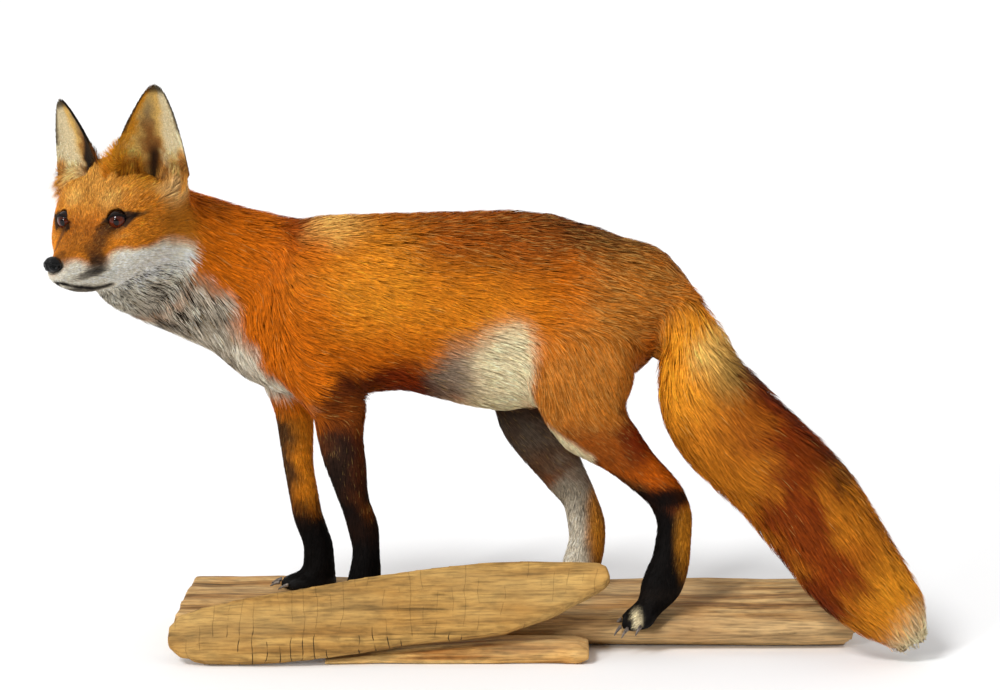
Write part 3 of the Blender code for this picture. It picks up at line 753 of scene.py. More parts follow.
BODY_MARKINGS = marks(
    # back, withers and rump
    (RED_BROWN, (0, 440), (150, 60), 0.8, 0.6),
    (UMBER, (120, 432), (95, 46), 0.75, 0.6),
    (TAN, (125, 330), (62, 70), 0.6, 0.6),
    (RUST, (-212, 424), (20, 20), 0.7, 0.7),
    (PALE_GOLD, (-172, 422), (26, 16), 0.75, 0.8),
    (GOLD, (-135, 375), (52, 46), 0.6, 0.7),
    (GOLD, (-40, 345), (80, 36), 0.42, 0.8),
    # belly, elbow and flank
    (RUST, (-108, 266), (44, 30), 0.95, 0.5),
    (MAROON, (-154, -34, 252), (26, 60, 36), 0.95, 0.5, 0.5),
    (RED_BROWN, (-140, -30, 236), (34, 60, 30), 0.8, 0.5),
    (SOOT, (-62, 275), (24, 22), 0.6, 0.7),
    (GREY, (-36, 282), (36, 34), 0.8, 0.6),
    (CREAM, (-2, 282), (36, 50), 0.98, 0.45),
    (CREAM, (-10, 30, 235), (60, 60, 26), 0.9, 0.4),
)

LEG_GROUPS = {
    "forearm": ("forearm", "front_pastern", "front_paw"),
    "thigh": ("thigh", "shank"),
    "shank": ("thigh", "shank", "hind_pastern"),
    "hind_pastern": ("hind_pastern", "shank"),
    "hind_paw": ("hind_paw",),
}
LEG_MARKINGS = {
    "forearm_left": marks(
        (RED_BROWN, (-140, 232), (60, 90), 0.9, 0.4),
        (MAROON, (-148, 250), (28, 42), 0.95, 0.5),
        (MAROON, (-140, 190), (60, 34), 0.75, 0.5, 0.5),
        (SOOT, (-158, 185), (20, 60), 0.85, 0.6),
        (RUST, (-114, 180), (10, 50), 0.6, 0.6),
        (BLACK, (-145, 98), (70, 92), 0.98, 0.4),
    ),
    "forearm_right": marks(
        (GOLD, (-190, 200), (34, 80), 0.45),
        (SOOT, (-219, 165), (19, 95), 0.9, 0.5, 0.7),
        (BLACK, (-195, 72), (70, 70), 0.98, 0.35),
    ),
    "thigh_left": marks(
        (TAN, (85, 300), (80, 80), 0.6, 0.6),
        (RUST, (136, 228), (18, 30), 0.8, 0.6),
        (UMBER, (78, 230), (40, 16), 0.5, 0.7),
    ),
    "shank_left": marks(
        (RUST, (140, 222), (20, 22), 0.8, 0.6),
        (UMBER, (100, 200), (36, 20), 0.5, 0.7),
    ),
    "hind_pastern_left": marks(
        (BLACK, (160, 92), (26, 74), 0.98, 0.25),
        (AMBER, (199, 122), (15, 46), 0.9, 0.5),
    ),
    "thigh_right": marks(
        (SOOT, (20, 110, 240), (70, 80, 50), 0.8, 0.5),
    ),
    "shank_right": marks(
        (SOOT, (52, 206), (96, 54), 0.9, 0.5, 0.4),
        (GREY, (52, 190), (50, 40), 0.3, 0.8, 0.9),
        (UMBER, (62, 172), (40, 22), 0.6, 0.6, 0.6),
        (DEEP_ORANGE, (104, 170), (14, 30), 0.8, 0.5),
    ),
    "hind_pastern_right": marks(
        (GREY, (76, 110), (32, 64), 0.95, 0.35, 0.5),
        (WHITE, (80, 92), (14, 34), 0.6, 0.6, 0.8),
        (AMBER, (112, 120), (16, 60), 0.9, 0.4),
    ),
    "hind_paw_left": marks((CREAM, (143, -46, 37), (5, 16, 13), 0.85, 0.5, 0.8)),
}

TAIL_MARKINGS = marks(
    (GOLD, (184, 326), (44, 62), 0.85, 0.5),
    (PALE_GOLD, (206, 314), (14, 20), 0.75, 0.7),
    (RED_BROWN, (236, 258), (34, 40), 0.6, 0.7, 0.6),
    (OLIVE, (222, 296), (19, 20), 0.75, 0.6),
    (UMBER, (298, 84), (20, 18), 0.6, 0.7, 0.5),
    (GOLD, (378, 86), (36, 40), 0.75, 0.8),
    (CREAM, (408, 38), (34, 36), 0.95, 0.6, 0.4),
)

HEAD_MARKINGS = marks(
    # The second number is the distance from the head's middle, so both sides match.
    (HONEY, (-22, 0, 36), (42, 44, 30), 0.75, 0.7),
    (GOLD, (-50, 38, 30), (26, 28, 26), 0.8, 0.6),
    (PALE_GOLD, (-46, 66, 18), (20, 18, 26), 0.85, 0.6),
    (CREAM, (-44, 66, 12), (14, 14, 16), 0.5, 0.7),
    (AMBER, (-44, 66, -22), (22, 22, 34), 0.6, 0.6),
    (RED_BROWN, (18, 12, -2), (16, 10, 12), 0.5, 0.7),
    (UMBER, (46, 0, -12), (34, 15, 13), 0.48, 0.7),
    (WHITE, (-10, 46, -100), (74, 70, 42), 0.95, 0.2, 0.15),
    (WHITE, (-15, 46, -58), (66, 36, 25), 1.0, 0.25, 0.30),
    (WHITE, (6, 44, -44), (28, 24, 15), 1.0, 0.25, 0.25),
    (WHITE, (36, 24, -52), (30, 22, 17), 1.0, 0.25, 0.2),
    (WHITE, (60, 8, -39), (20, 18, 15), 0.95, 0.3, 0.2),
    (WHITE, (18, 38, -38), (17, 16, 13), 0.95, 0.35, 0.3),
    (GREY, (50, 8, -62), (34, 22, 12), 0.8, 0.5, 0.3),
    (SOOT, (44, 14, -60), (26, 14, 6), 0.85, 0.6, 0.4),
    (SOOT, (58, 5, -54), (15, 13, 5), 0.75, 0.6, 0.4),
    (SOOT, (29, 22, -61), (10, 9, 4), 0.85, 0.6, 0.3),
    (UMBER, (64, 0, -22), (12, 10, 10), 0.5, 0.7),
    (UMBER, (36, 25, -23), (9, 11, 13), 0.85, 0.6, 0.45),
    (SOOT, (38, 24, -34), (10, 10, 8), 0.78, 0.7, 0.6),
    (UMBER, (25, 24, -14), (6, 7, 12), 0.85, 0.6, 0.4),
    (SOOT, (46, 23, -40), (15, 12, 3), 0.75, 0.6, 0.8),
    (PALE_GOLD, (-4, 22, 17), (12, 10, 6), 0.35, 0.8, 0.4),
    (SOOT, (14, 25, -7), (8, 8, 4), 0.9, 0.5, 0.2),
    (SOOT, (-7, 47, 0), (11, 10, 1.8), 0.75, 0.5, 0.3),
    (PALE_GOLD, (2, 34, -15), (12, 10, 2.6), 0.4, 0.6, 0.2),
)


@dataclass(frozen=True)
class Streak:
    """A band of colour along a line, seen from the side: x and z in the body's millimetres."""

    shade: Shade
    line: tuple[tuple[float, float], ...]
    width: float
    nodes: tuple[str, ...]
    strength: float = 1.0
    ragged: float = 0.3

    def weight(self, body: Array, rough: Array) -> Array:
        """How strongly the band covers each place."""
        line = np.array([(x, 0.0, z) for x, z in self.line])
        distance = near_line(body * (1, 0, 1), line) / self.width + self.ragged * rough
        return self.strength * (1 - step(0.5, 1.5, distance))


STREAKS = (
    Streak(CREAM, ((26, 268), (40, 243), (58, 219), (88, 197)), 6.5,
           ("trunk", "thigh_left", "shank_left"), 0.95, 0.2),
    Streak(UMBER, ((84, 192), (112, 179), (140, 168)), 7.0, ("shank_left",), 0.85, 0.5),
    Streak(BLACK, ((100, 168), (130, 160), (152, 158), (180, 160)), 9.0,
           ("shank_left", "hind_pastern_left"), 0.95),
    Streak(RUST, ((254, 286), (284, 238), (270, 188), (284, 156), (314, 116), (300, 84)), 26.0,
           ("tail",), 0.85, 1.1),
    Streak(MAROON, ((240, 300), (276, 262), (304, 236), (322, 206)), 13.0, ("tail",), 0.7, 1.0),
)


@dataclass(frozen=True)
class Bib:
    """The pale chest and throat, ahead of a slanting line down the neck."""

    heights: tuple[float, ...] = (200, 256, 320, 378, 420)
    edge: tuple[float, ...] = (-185, -195, -245, -282, -300)
    far_side: tuple[float, float] = (20, 60)
    far_shift: float = -14.0
    top: tuple[float, float] = (398, 384)
    foot: tuple[float, float] = (246, 262)
    blur: float = 11.0
    ragged: float = 14.0

    def weight(self, body: Array, rough: Array) -> Array:
        """How much of the bib covers each place of the body."""
        edge = np.interp(body[:, 2], self.heights, self.edge)
        edge = edge + self.far_shift * step(*self.far_side, body[:, 1])
        between = step(*self.top, body[:, 2]) * step(*self.foot, body[:, 2])
        return step(self.blur, -self.blur, body[:, 0] - edge + self.ragged * rough) * between


# ---- skin


@dataclass(frozen=True)
class Coat:
    """How the hair grows on one part of the body: millimetres, and tufts to a square millimetre."""

    depth: float
    length: float
    width: float
    density: float
    lie: Triple
    shade: Shade


COATS = {
    "trunk": Coat(9.0, 25, 0.74, 0.52, (1, 0, -0.28), ORANGE),
    "neck": Coat(11.0, 30, 0.74, 0.64, (0.80, 0.25, -0.60), ORANGE),
    "head": Coat(4.5, 12, 0.50, 1.5, (1, 0, 0), TAWNY),
    "lower_jaw": Coat(2.0, 8, 0.45, 1.5, (1, 0, 0), WHITE),
    "tail": Coat(15.0, 38, 0.84, 0.49, (0.6, -0.2, -0.75), OCHRE),
    "forearm": Coat(3.2, 13, 0.60, 1.1, (0.12, 0, -1), ORANGE),
    "front_pastern": Coat(2.2, 8, 0.55, 1.2, (0.1, 0, -1), BLACK),
    "front_paw": Coat(0.8, 5, 0.50, 1.3, (-0.8, 0, -0.6), BLACK),
    "thigh": Coat(6.5, 22, 0.75, 0.7, (0.45, 0, -1), ORANGE),
    "shank": Coat(3.6, 13, 0.60, 1.0, (0.75, 0, -0.65), DEEP_ORANGE),
    "hind_pastern": Coat(2.4, 9, 0.55, 1.1, (-0.1, 0, -1), SOOT),
    "hind_paw": Coat(0.8, 5, 0.50, 1.3, (-0.8, 0, -0.6), BLACK),
}


@dataclass(frozen=True)
class Orbit:
    """Where one eye sits, and the almond opening of its lids."""

    side: str
    outward: float
    slant: float = radians(8)
    half_width: float = radians(72)
    upper: float = radians(42)
    lower: float = radians(34)
    corners: tuple[float, float] = (21.5, 20.0)
    tall: float = 7.9

    @property
    def sign(self) -> int:
        """1 on the left side and -1 on the right."""
        return 1 if self.side == "left" else -1

    @property
    def centre(self) -> Array:
        """The ball's middle in the head's millimetres."""
        return HEAD.inside(middle_of(f"eye_{self.side}")[None])[0]

    @property
    def radius(self) -> float:
        """The ball's radius in millimetres."""
        low, high = box_of(f"eye_{self.side}")
        return (high - low).max() / 2 / MM

    def axes(self) -> Array:
        """Rows: out of the opening, towards the outer corner, and up, in the head's frame."""
        ahead = np.array((cos(self.outward), self.sign * sin(self.outward), 0.0))
        corner = np.array((-sin(self.outward), self.sign * cos(self.outward), 0.0))
        up = np.array((0.0, 0.0, 1.0))
        tilted = corner * cos(self.slant) + up * sin(self.slant)
        return np.array((ahead, tilted, up * cos(self.slant) - corner * sin(self.slant)))

    def away(self, places: Array) -> Array:
        """Places measured from the ball's middle along its own axes."""
        return (places - self.centre) @ self.axes().T

    def lid(self, around: Array, upper: bool) -> Array:
        """The lid's edge angle for each angle around."""
        share = np.clip(np.abs(around) / self.half_width, 0, 1)
        lean = 1 + 0.18 * np.clip(-around / self.half_width, -1, 1)
        return (self.upper if upper else self.lower) * (1 - share**2.1) * lean

    def gap(self, places: Array) -> tuple[Array, Array]:
        """Distance from the middle, and an angle that is negative inside the opening."""
        away = self.away(places)
        around = np.arctan2(away[:, 1], away[:, 0])
        rise = np.arctan2(away[:, 2], np.hypot(away[:, 0], away[:, 1]))
        edge = np.where(rise > 0, self.lid(around, True), self.lid(around, False))
        beyond = np.hypot(np.abs(around) - self.half_width, rise)
        gap = np.where(np.abs(around) < self.half_width, np.abs(rise) - edge, beyond)
        return np.linalg.norm(away, axis=1), gap

    def rim(self, places: Array) -> Array:
        """How far each place lies in the dark almond that runs out into both corners, from 0 to 1."""
        away = self.away(places)
        reach = np.where(away[:, 1] < 0, self.corners[0], self.corners[1])
        tall = self.tall * (1 - np.clip(np.abs(away[:, 1]) / reach, 0, 1) ** 1.5) + 0.5
        beyond = np.abs(away[:, 2] - 0.05 * away[:, 1]) - tall
        return step(1.2, -0.4, beyond) * step(1.06, 0.98, np.abs(away[:, 1]) / reach) * (away[:, 0] > 0)

    def at(self, around: Array, rise: Array, distance: Array | float) -> Array:
        """Places in the head's frame from angles and a distance."""
        level = np.cos(rise)
        away = np.stack((level * np.cos(around), level * np.sin(around), np.sin(rise)), axis=-1)
        return self.centre + (away * np.asarray(distance)[..., None]) @ self.axes()


ORBITS = (Orbit("left", radians(28)), Orbit("right", radians(15)))

# The left lip from the middle of the mouth to its corner, in the head's millimetres.
LIP_LINE = np.array((
    (71, 0, -40), (70, 3, -41), (64, 7, -46), (57, 10.5, -50),
    (42, 15, -57.5), (32, 20, -60), (25, 25, -59.5),
))


def from_eyes(head: Array) -> Array:
    """Each head place's distance from the middle of the nearer eye."""
    return np.minimum.reduce([np.linalg.norm(head - orbit.centre, axis=1) for orbit in ORBITS])


def near_line(places: Array, line: Array) -> Array:
    """Each place's distance from a line of points."""
    best = np.full(len(places), np.inf)
    for start, end in zip(line[:-1], line[1:]):
        along = end - start
        share = np.clip((places - start) @ along / (along @ along), 0, 1)
        best = np.minimum(best, np.linalg.norm(places - start - share[:, None] * along, axis=1))
    return best


def mirrored(places: Array) -> Array:
    """Head places with the left number made positive."""
    return places * (1, 0, 1) + np.abs(places) * (0, 1, 0)


@dataclass
class Fields:
    """What the coat needs to know at each point of the skin."""

    points: Array
    triangles: Array
    normals: Array
    depth: Array
    length: Array
    width: Array
    density: Array
    lie: Array
    base: Array
    tip: Array
    grizzle: Array
    # Share of dark locks; on the throat below the cheeks it also holds painted shade.
    sooty: Array
    region: Array


REGIONS = ("face", "ears", "neck", "trunk", "tail", "front_legs", "hind_legs")
SHORT_COATS = ("face", "ears", "front_legs", "hind_legs")


@dataclass
class Ear:
    """A cupped ear in the head's millimetres; its sign is 1 on the left and -1 on the right."""

    sign: int
    root: Triple
    tip: Triple
    turn: float
    half_width: float = 37.0
    cup: float = 23.0
    wall: float = 2.2
    sunk: float = 13.0
    rim: float = 0.90
    inked: bool = False
    rows: int = 40
    columns: int = 32

    def axes(self) -> tuple[Array, Array, Array, float]:
        """The ear's own directions (up, out of its cup, sideways) and its height."""
        root, tip = np.array(self.root, float), np.array(self.tip, float)
        height = float(np.linalg.norm(tip - root))
        axis = (tip - root) / height
        opening = np.array((cos(self.turn), self.sign * sin(self.turn), 0.0))
        opening = unit(opening - axis * (opening @ axis))
        return axis, opening, np.cross(axis, opening), height

    def half(self, rise: Array, lateral: Array) -> Array:
        """Half the ear's width, fuller on the inner side and drawn in at the outer root."""
        outer = 1 - 0.45 * step(0.17, 0.0, rise)
        inner = 1 + 0.20 * np.sin(pi * np.clip(rise, 0, 1)) ** 1.2
        fade = np.clip(1 - rise, 0, 1) ** 0.6
        return self.half_width * fade * np.where(lateral > 0, outer, inner) + 2.5

    def bow(self, rise: Array, across: Array) -> Array:
        """How far the cup lies behind the ear's edges."""
        return self.cup * np.clip(1 - rise, 0, 1) ** 0.6 * (1 - across**2)

    def hollow(self, head: Array) -> tuple[Array, Array]:
        """Clears the cup of skin.

        Args:
            head: places on the head's skin, in its millimetres.

        Returns:
            The places with those in the cup moved behind the ear, and how far each was cleared,
            from 0 to 1.
        """
        axis, opening, sideways, height = self.axes()
        away = head - np.array(self.root)
        rise = away @ axis / height
        aside = away @ sideways
        across = aside / self.half(rise, aside * self.sign)
        ahead = away @ opening
        surface = -self.bow(rise, np.clip(across, -1, 1)) - 1.5
        lateral = across * self.sign
        floor = -0.02 - 0.11 * step(-0.5, 0.3, lateral) * step(0.95, 0.6, lateral)
        share = step(0, 0.06, rise - floor) * step(0.98, 0.82, np.abs(across))
        share = share * (ahead > surface) * (ahead < 40)
        return head + opening * (share * (surface - ahead))[:, None], share

    def fields(self) -> Fields:
        """The ear's skin with its hair."""
        axis, opening, sideways, height = self.axes()
        rise, across = np.meshgrid(
            np.linspace(0, 1, self.rows), np.linspace(-1, 1, self.columns + 1), indexing="ij"
        )
        wall = self.wall * (1 - 0.4 * rise) + (1 - rise) ** 6 * 8
        middle = np.array(self.root) + axis * (rise * (height - 3.0 + self.sunk) - self.sunk)[..., None]
        middle = middle + sideways * (across * self.half(rise, across * self.sign))[..., None]
        middle = middle - opening * self.bow(rise, across)[..., None]
        inward = unit(opening - sideways * (across * 0.7)[..., None])
        back, front = (inward * (wall * share * (1 - 0.35 * across**2))[..., None] for share in (0.2, 0.95))
        points = np.concatenate([(middle + layer).reshape(-1, 3) for layer in (back, front)])
        triangles = self.faces()
        world = HEAD.outside(points)
        count = self.rows * (self.columns + 1)
        rise, lateral = np.tile(rise.ravel(), 2), np.tile(across.ravel() * self.sign, 2)
        front = np.repeat((0.0, 1.0), count)
        rough = noise(world, 0.006, 4, 2)
        lie = axis - sideways * (np.tile(across.ravel(), 2) * front * 0.6)[:, None]
        spill = front * step(0.36, 0.20, rise) * step(0.25, 0.55, np.abs(lateral))
        lie = blended(lie, 0.9 * opening - 0.5 * axis, 0.9 * spill)
        flare = step(-0.75, -0.95, lateral) * step(0.50, 0.34, rise)
        lie = blended(lie, axis - 0.8 * self.sign * sideways + 0.2 * opening, flare)
        base = self.colours(rise, lateral, front, rough)
        hollow = front * step(0.5, 0.15, np.abs(lateral - 0.08)) * step(0.7, 0.3, rise)
        edge = step(0.72, 0.95, np.abs(lateral)) * front
        low = step(0.35, 0.0, rise)
        length = 3.6 + 6.0 * edge * (1 - 0.6 * rise) + 5.0 * low + 7.0 * spill + 5.0 * flare
        return Fields(
            points=world, triangles=triangles, normals=point_normals(world, triangles),
            depth=0.9 + 2.2 * edge * (1 - rise) + 2.0 * low, length=length,
            width=np.full(2 * count, 0.42), density=1.4 - 1.0 * hollow,
            lie=HEAD.turned(unit(lie)), base=base, tip=base * 1.25,
            grizzle=0.15 * front, sooty=np.zeros(2 * count), region=np.full(2 * count, REGIONS.index("ears")),
        )

    def colours(self, rise: Array, lateral: Array, front: Array, rough: Array) -> Array:
        """Colours the ear.

        Args:
            rise: from 0 at the root to 1 at the tip.
            lateral: from -1 at the outer edge to 1 at the inner edge.
            front: 1 in the cup and 0 on the back.
            rough: noise that makes the patches ragged.

        Returns:
            Rows of linear colour.
        """
        plain = np.tile(GOLD.linear(), (len(rise), 1))
        inner = PALE_GOLD.over(plain, step(-0.9, -0.45, lateral + 0.3 * rough))
        inner = CREAM.over(inner, 0.9 * step(0.15, 0.5, lateral + 0.15 * rough))
        middle = 0.10 - 0.38 * step(0.15, 0.75, rise)
        shadow = step(0.44, 0.06, np.abs(lateral - middle + 0.25 * rough)) * step(0.98, 0.72, rise)
        inner = GREY.over(inner, 0.6 * shadow * step(0.5, 0.72, rise), 0.6)
        inner = RED_BROWN.over(inner, 0.8 * shadow * step(0.78, 0.5, rise) * step(0.02, 0.2, rise))
        # Painted shade: the ear's opening at the foot of the cup is painted dark brown, not cut in.
        hole = step(0.24, 0.05, np.abs(lateral - 0.04)) * step(0.46, 0.28, rise)
        inner = UMBER.over(inner, 0.95 * hole, 0.25)
        inner = GOLD.over(inner, 0.8 * step(0.34, 0.2, rise) * step(-0.15, -0.4, lateral))
        inner = PALE_GOLD.over(inner, 0.8 * step(0.40, 0.2, rise) * step(0.3, 0.6, lateral))
        foot = step(0.28, 0.10, rise) * step(0.05, 0.3, np.abs(lateral))
        inner_foot = step(0.45, 0.3, rise) * step(0.72, 0.86, lateral)
        inner = AMBER.over(inner, 0.8 * np.maximum(foot, inner_foot))
        rim = step(self.rim, self.rim + 0.08, -lateral + 0.08 * rough) * step(0.50, 0.58, rise)
        tip_rim = step(0.90, 0.97, np.maximum(np.abs(lateral) * (rise > 0.55), rise))
        inner = SOOT.over(inner, 0.9 * np.maximum(rim, tip_rim))
        if self.inked:
            ink = step(0.34, 0.14, lateral + 0.12 * rough + 0.85 * step(0.3, 0.8, rise))
            inner = SOOT.over(inner, 0.95 * ink * step(0.08, 0.2, rise), 0.7)
        edge_low = np.where(lateral < 0, 0.42, 0.2)
        orange = np.tile(ORANGE.linear(), (len(rise), 1))
        outer = BLACK.over(orange, step(edge_low - 0.15, edge_low + 0.05, rise + 0.12 * rough))
        # Painted light and shade: the whole cup is brightened against the shade it stands in, and darkened
        # again along its deep middle.
        painted_cup_light_and_shade = 1.25 - 0.35 * step(0.6, 0.1, np.abs(lateral - middle)) * step(0.9, 0.5, rise)
        return blended(outer, inner * painted_cup_light_and_shade[:, None], front)

    def faces(self) -> Array:
        """The triangles of both layers and the rim."""
        columns, count = self.columns + 1, self.rows * (self.columns + 1)
        row, column = np.meshgrid(np.arange(self.rows - 1), np.arange(self.columns), indexing="ij")
        first = (row * columns + column).ravel()
        quads = np.stack((first, first + 1, first + columns + 1, first + columns), axis=1)
        edge = [i * columns for i in range(self.rows)]
        edge += [(self.rows - 1) * columns + j for j in range(1, columns)]
        edge += [i * columns + columns - 1 for i in range(self.rows - 2, -1, -1)]
        edge += list(range(columns - 2, 0, -1))
        start, end = np.array(edge), np.roll(np.array(edge), -1)
        rim = np.stack((start, end, count + end, count + start), axis=1)
        return split_quads(np.concatenate((quads, count + quads[:, ::-1], rim)))


EAR_PAIR = (
    Ear(1, (-50, 44, 24), (-49, 71, 118), radians(35)),
    Ear(-1, (-52, -48, 22), (-67, -62, 101), radians(21), 43.0, rim=0.30, inked=True),
)


@dataclass
class Skin:
    """The skin over all the flesh: fused from the CAD solids, drawn in and sculpted."""

    voxel: float = 0.0027
    forms: tuple[tuple[Triple, Triple, float], ...] = (
        ((22, 0, -4), (13, 12, 12), -1.8),  # the stop between the eyes
        ((5, 23, 13), (11, 9, 6), 1.4),  # brow
        ((21, 27, -19), (11, 9, 9), -2.0),  # hollow ahead of the eye
        ((48, 17, -38), (14, 9, 8), 1.0),  # whisker pad
        ((42, 6, -64), (26, 14, 8), 2.6),  # chin
        ((-8, 48, -22), (16, 10, 10), 1.2),  # cheekbone
    )
    steps: int = 8
    depth_ease: int = 25
    hair_ease: int = 14
    colour_ease: int = 40
    mask_ease: int = 24
    finish: SkinFinish = SkinFinish()
    bib: Bib = Bib()
    points: Array = field(init=False)
    triangles: Array = field(init=False)
    labels: Array = field(init=False)
    depth: Array = field(init=False)
    cleared: Array = field(init=False)
    masks: dict[str, Array] = field(init=False)

    def build(self) -> Fields:
        """Makes the skin's surface.

        Returns:
            The skin of the body and head with its hair.
        """
        self.points, self.triangles = fused(FLESH, self.voxel, 3)
        self.label()
        self.draw_in()
        self.refine()
        self.sculpt()
        LOG.info("skin form: %d points, %d faces", len(self.points), len(self.triangles))
        return self.coat()

    def label(self) -> None:
        """Finds the number in FLESH of the nearest CAD solid, for each point."""
        corners, faces, owner = [], [], []
        for number, node in enumerate(FLESH):
            node_points, node_faces = read_mesh(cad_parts[node].data)
            faces.append(node_faces + sum(len(rows) for rows in corners))
            corners.append(node_points)
            owner.append(np.full(len(node_faces), number))
        tree = BVHTree.FromPolygons(np.concatenate(corners).tolist(), np.concatenate(faces).tolist())
        nearest = np.array([tree.find_nearest(Vector(point))[2] for point in self.points])
        self.labels = np.concatenate(owner)[nearest]

    def part(self, *nodes: str) -> Array:
        """Whether each point belongs to one of the named parts."""
        return np.isin(self.labels, [FLESH.index(node) for node in nodes])

    def grown(self, value: Callable[[Coat], object]) -> Array:
        """A coat's value for each point."""
        return np.array([value(COATS[part_of(node)]) for node in FLESH], float)[self.labels]

    def depths(self) -> Array:
        """The coat's depth at each point.

        Returns:
            Millimetres.
        """
        head = HEAD.inside(self.points)
        ahead, aside, rise = mirrored(head).T
        x, _, z = BODY.inside(self.points).T
        face = 1.2 + 2.6 * step(5, -35, ahead) + 2.4 * step(38, 62, aside) * step(10, -25, ahead)
        face += 4.0 * step(-45, -75, rise) * step(15, -25, ahead)
        face = 1.3 + (face - 1.3) * step(13, 24, from_eyes(head))
        depth = np.where(self.part("head", "lower_jaw"), face, self.grown(lambda coat: coat.depth))
        depth = np.where(self.part("tail"), 7 + (depth - 7) * step(150, 235, x), depth)
        return np.where(self.part("trunk") & (z < 285), 7.0, depth)

    def draw_in(self) -> None:
        """Draws the surface in from the tips of the coat, in small steps so that it stays clean."""
        self.depth = spread(self.depths(), self.triangles, self.depth_ease)
        for _ in range(self.steps):
            normals = point_normals(self.points, self.triangles)
            points = self.points - normals * (self.depth * MM / self.steps)[:, None]
            eased = spread(points, self.triangles, 1)
            self.points = points + (eased - points) * step(1.0, 4.0, self.depth)[:, None]

    def refine(self) -> None:
        """Makes finer triangles on the face, where folds and lids need them."""
        ahead, aside, rise = HEAD.inside(self.points).T
        fine = (ahead > -22) & (np.abs(aside) < 50) & (rise > -75) & (rise < 32)
        fine &= self.part("head", "lower_jaw")
        work = bmesh.new()
        made = [work.verts.new(point) for point in self.points]
        work.verts.ensure_lookup_table()
        for triangle in self.triangles.tolist():
            work.faces.new([made[corner] for corner in triangle])
        label = work.verts.layers.int.new("label")
        depth = work.verts.layers.float.new("depth")
        for vert, number, value in zip(work.verts, self.labels.tolist(), self.depth.tolist()):
            vert[label] = number
            vert[depth] = value
        work.verts.index_update()
        edges = [edge for edge in work.edges if all(fine[vert.index] for vert in edge.verts)]
        bmesh.ops.subdivide_edges(work, edges=edges, cuts=1, use_grid_fill=True)
        bmesh.ops.triangulate(work, faces=work.faces)
        work.verts.index_update()
        self.triangles = np.array([[vert.index for vert in face.verts] for face in work.faces])
        self.points = np.array([vert.co for vert in work.verts])
        self.labels = np.array([vert[label] for vert in work.verts])
        self.depth = np.array([vert[depth] for vert in work.verts])
        work.free()

    def sculpt(self) -> None:
        """Shapes the face, and opens the ears' cups, the eyes' sockets and the mouth's line."""
        head = HEAD.inside(self.points)
        self.cleared = np.zeros(len(head))
        for ear in EAR_PAIR:
            head, share = ear.hollow(head)
            self.cleared = np.maximum(self.cleared, share)
        normals = point_normals(self.points, self.triangles) @ HEAD.axes.T
        mirror = mirrored(head)
        push = -2.0 * np.clip(1 - near_line(mirror, LIP_LINE) / 2.6, 0, 1) ** 1.3
        for place, reach, height in self.forms:
            away = (mirror - np.array(place)) / np.array(reach)
            push = push + height * np.exp(-(away * away).sum(axis=1))
        head = head + normals * push[:, None]
        for orbit in ORBITS:
            distance, gap = orbit.gap(head)
            away = unit(head - orbit.centre)
            inside = (distance < orbit.radius + 14) & (gap < 0)
            cover = (distance < orbit.radius + 0.3) & (gap >= 0) & (away @ orbit.axes()[0] > -0.3)
            head = np.where(inside[:, None], orbit.centre + away * (orbit.radius - 1.6), head)
            head = np.where(cover[:, None], orbit.centre + away * (orbit.radius + 0.3), head)
        self.points = HEAD.outside(head)

    def coat(self) -> Fields:
        """Grows hair and colour over the sculpted skin.

        Returns:
            What the coat needs to know at each point.
        """
        head, body = HEAD.inside(self.points), BODY.inside(self.points)
        normals = point_normals(self.points, self.triangles)
        on_head = self.part("head", "lower_jaw")
        ahead, aside, rise = head.T
        face = 3.6 + 6.5 * step(12, -45, ahead) + 13 * step(-10, -50, ahead) * step(40, 62, np.abs(aside))
        face += 9 * step(-45, -75, rise) * step(20, -25, ahead)
        face = 2.6 + (face - 2.6) * step(11, 26, from_eyes(head))
        length = np.where(on_head, face, self.grown(lambda coat: coat.length))
        width = np.where(on_head, 0.34 + 0.012 * face, self.grown(lambda coat: coat.width))
        density = np.where(on_head, 2.3 - 0.045 * face, self.grown(lambda coat: coat.density))
        face_lie = HEAD.turned(self.face_lie(head))
        lie = np.where(on_head[:, None], face_lie, self.grown(lambda coat: coat.lie))
        lie = np.where(self.part("tail")[:, None], self.tail_lie(), lie)
        chest = step(-175, -215, body[:, 0]) * self.part("trunk")
        lie = blended(lie, np.array((0.25, 0.0, -1.0)), chest)
        bib = self.bib.weight(body, noise(self.points, 0.02, 2, 2)) * ~on_head
        lie = blended(lie, np.array((0.45, 0.1, -1.0)), 0.7 * bib * self.part("neck"))
        lie = flattened(lie, normals)
        length, width, density, lie = (
            spread(values, self.triangles, self.hair_ease) for values in (length, width, density, lie)
        )
        swirl = 0.20 * noise(self.points, 0.028, 7, 2) + 0.12 * noise(self.points, 0.009, 8)
        lie = lie + np.cross(normals, lie) * (swirl * step(3, 12, length) * 1.3)[:, None]
        lie = flattened(lie, normals)
        for orbit in ORBITS:
            distance, gap = orbit.gap(head)
            gap = np.where(distance < orbit.radius + 6, gap, pi)
            density = density * step(radians(1), radians(11), gap)
        density = density * step(0.6, 2.2, near_line(mirrored(head), LIP_LINE))
        density = density * step(0.35, 0.05, self.cleared)
        regions = np.array([REGIONS.index(region_of(node)) for node in FLESH])[self.labels]
        return Fields(
            self.points, self.triangles, normals, self.depth, length, width, density, lie,
            *self.colours(head, body, on_head), regions,
        )

    def face_lie(self, head: Array) -> Array:
        """The way the hair lies on the head, in its own frame: away from the nose."""
        ahead, aside, height = head.T
        out = step(0, 40, np.abs(aside))
        low = step(-20, -60, height)
        high = step(0, 30, height)
        lie = np.stack((
            np.full(len(head), -1.0),
            np.sign(aside) * (0.25 * out + 0.25 * step(10, -30, ahead) * out),
            0.45 * high - 0.55 * low * step(30, -10, ahead),
        ), axis=1)
        for orbit in ORBITS:
            away = head - orbit.centre
            distance = np.linalg.norm(away, axis=1)
            lie = lie + unit(away) * (0.9 * step(24, 11, distance))[:, None]
        return unit(lie)

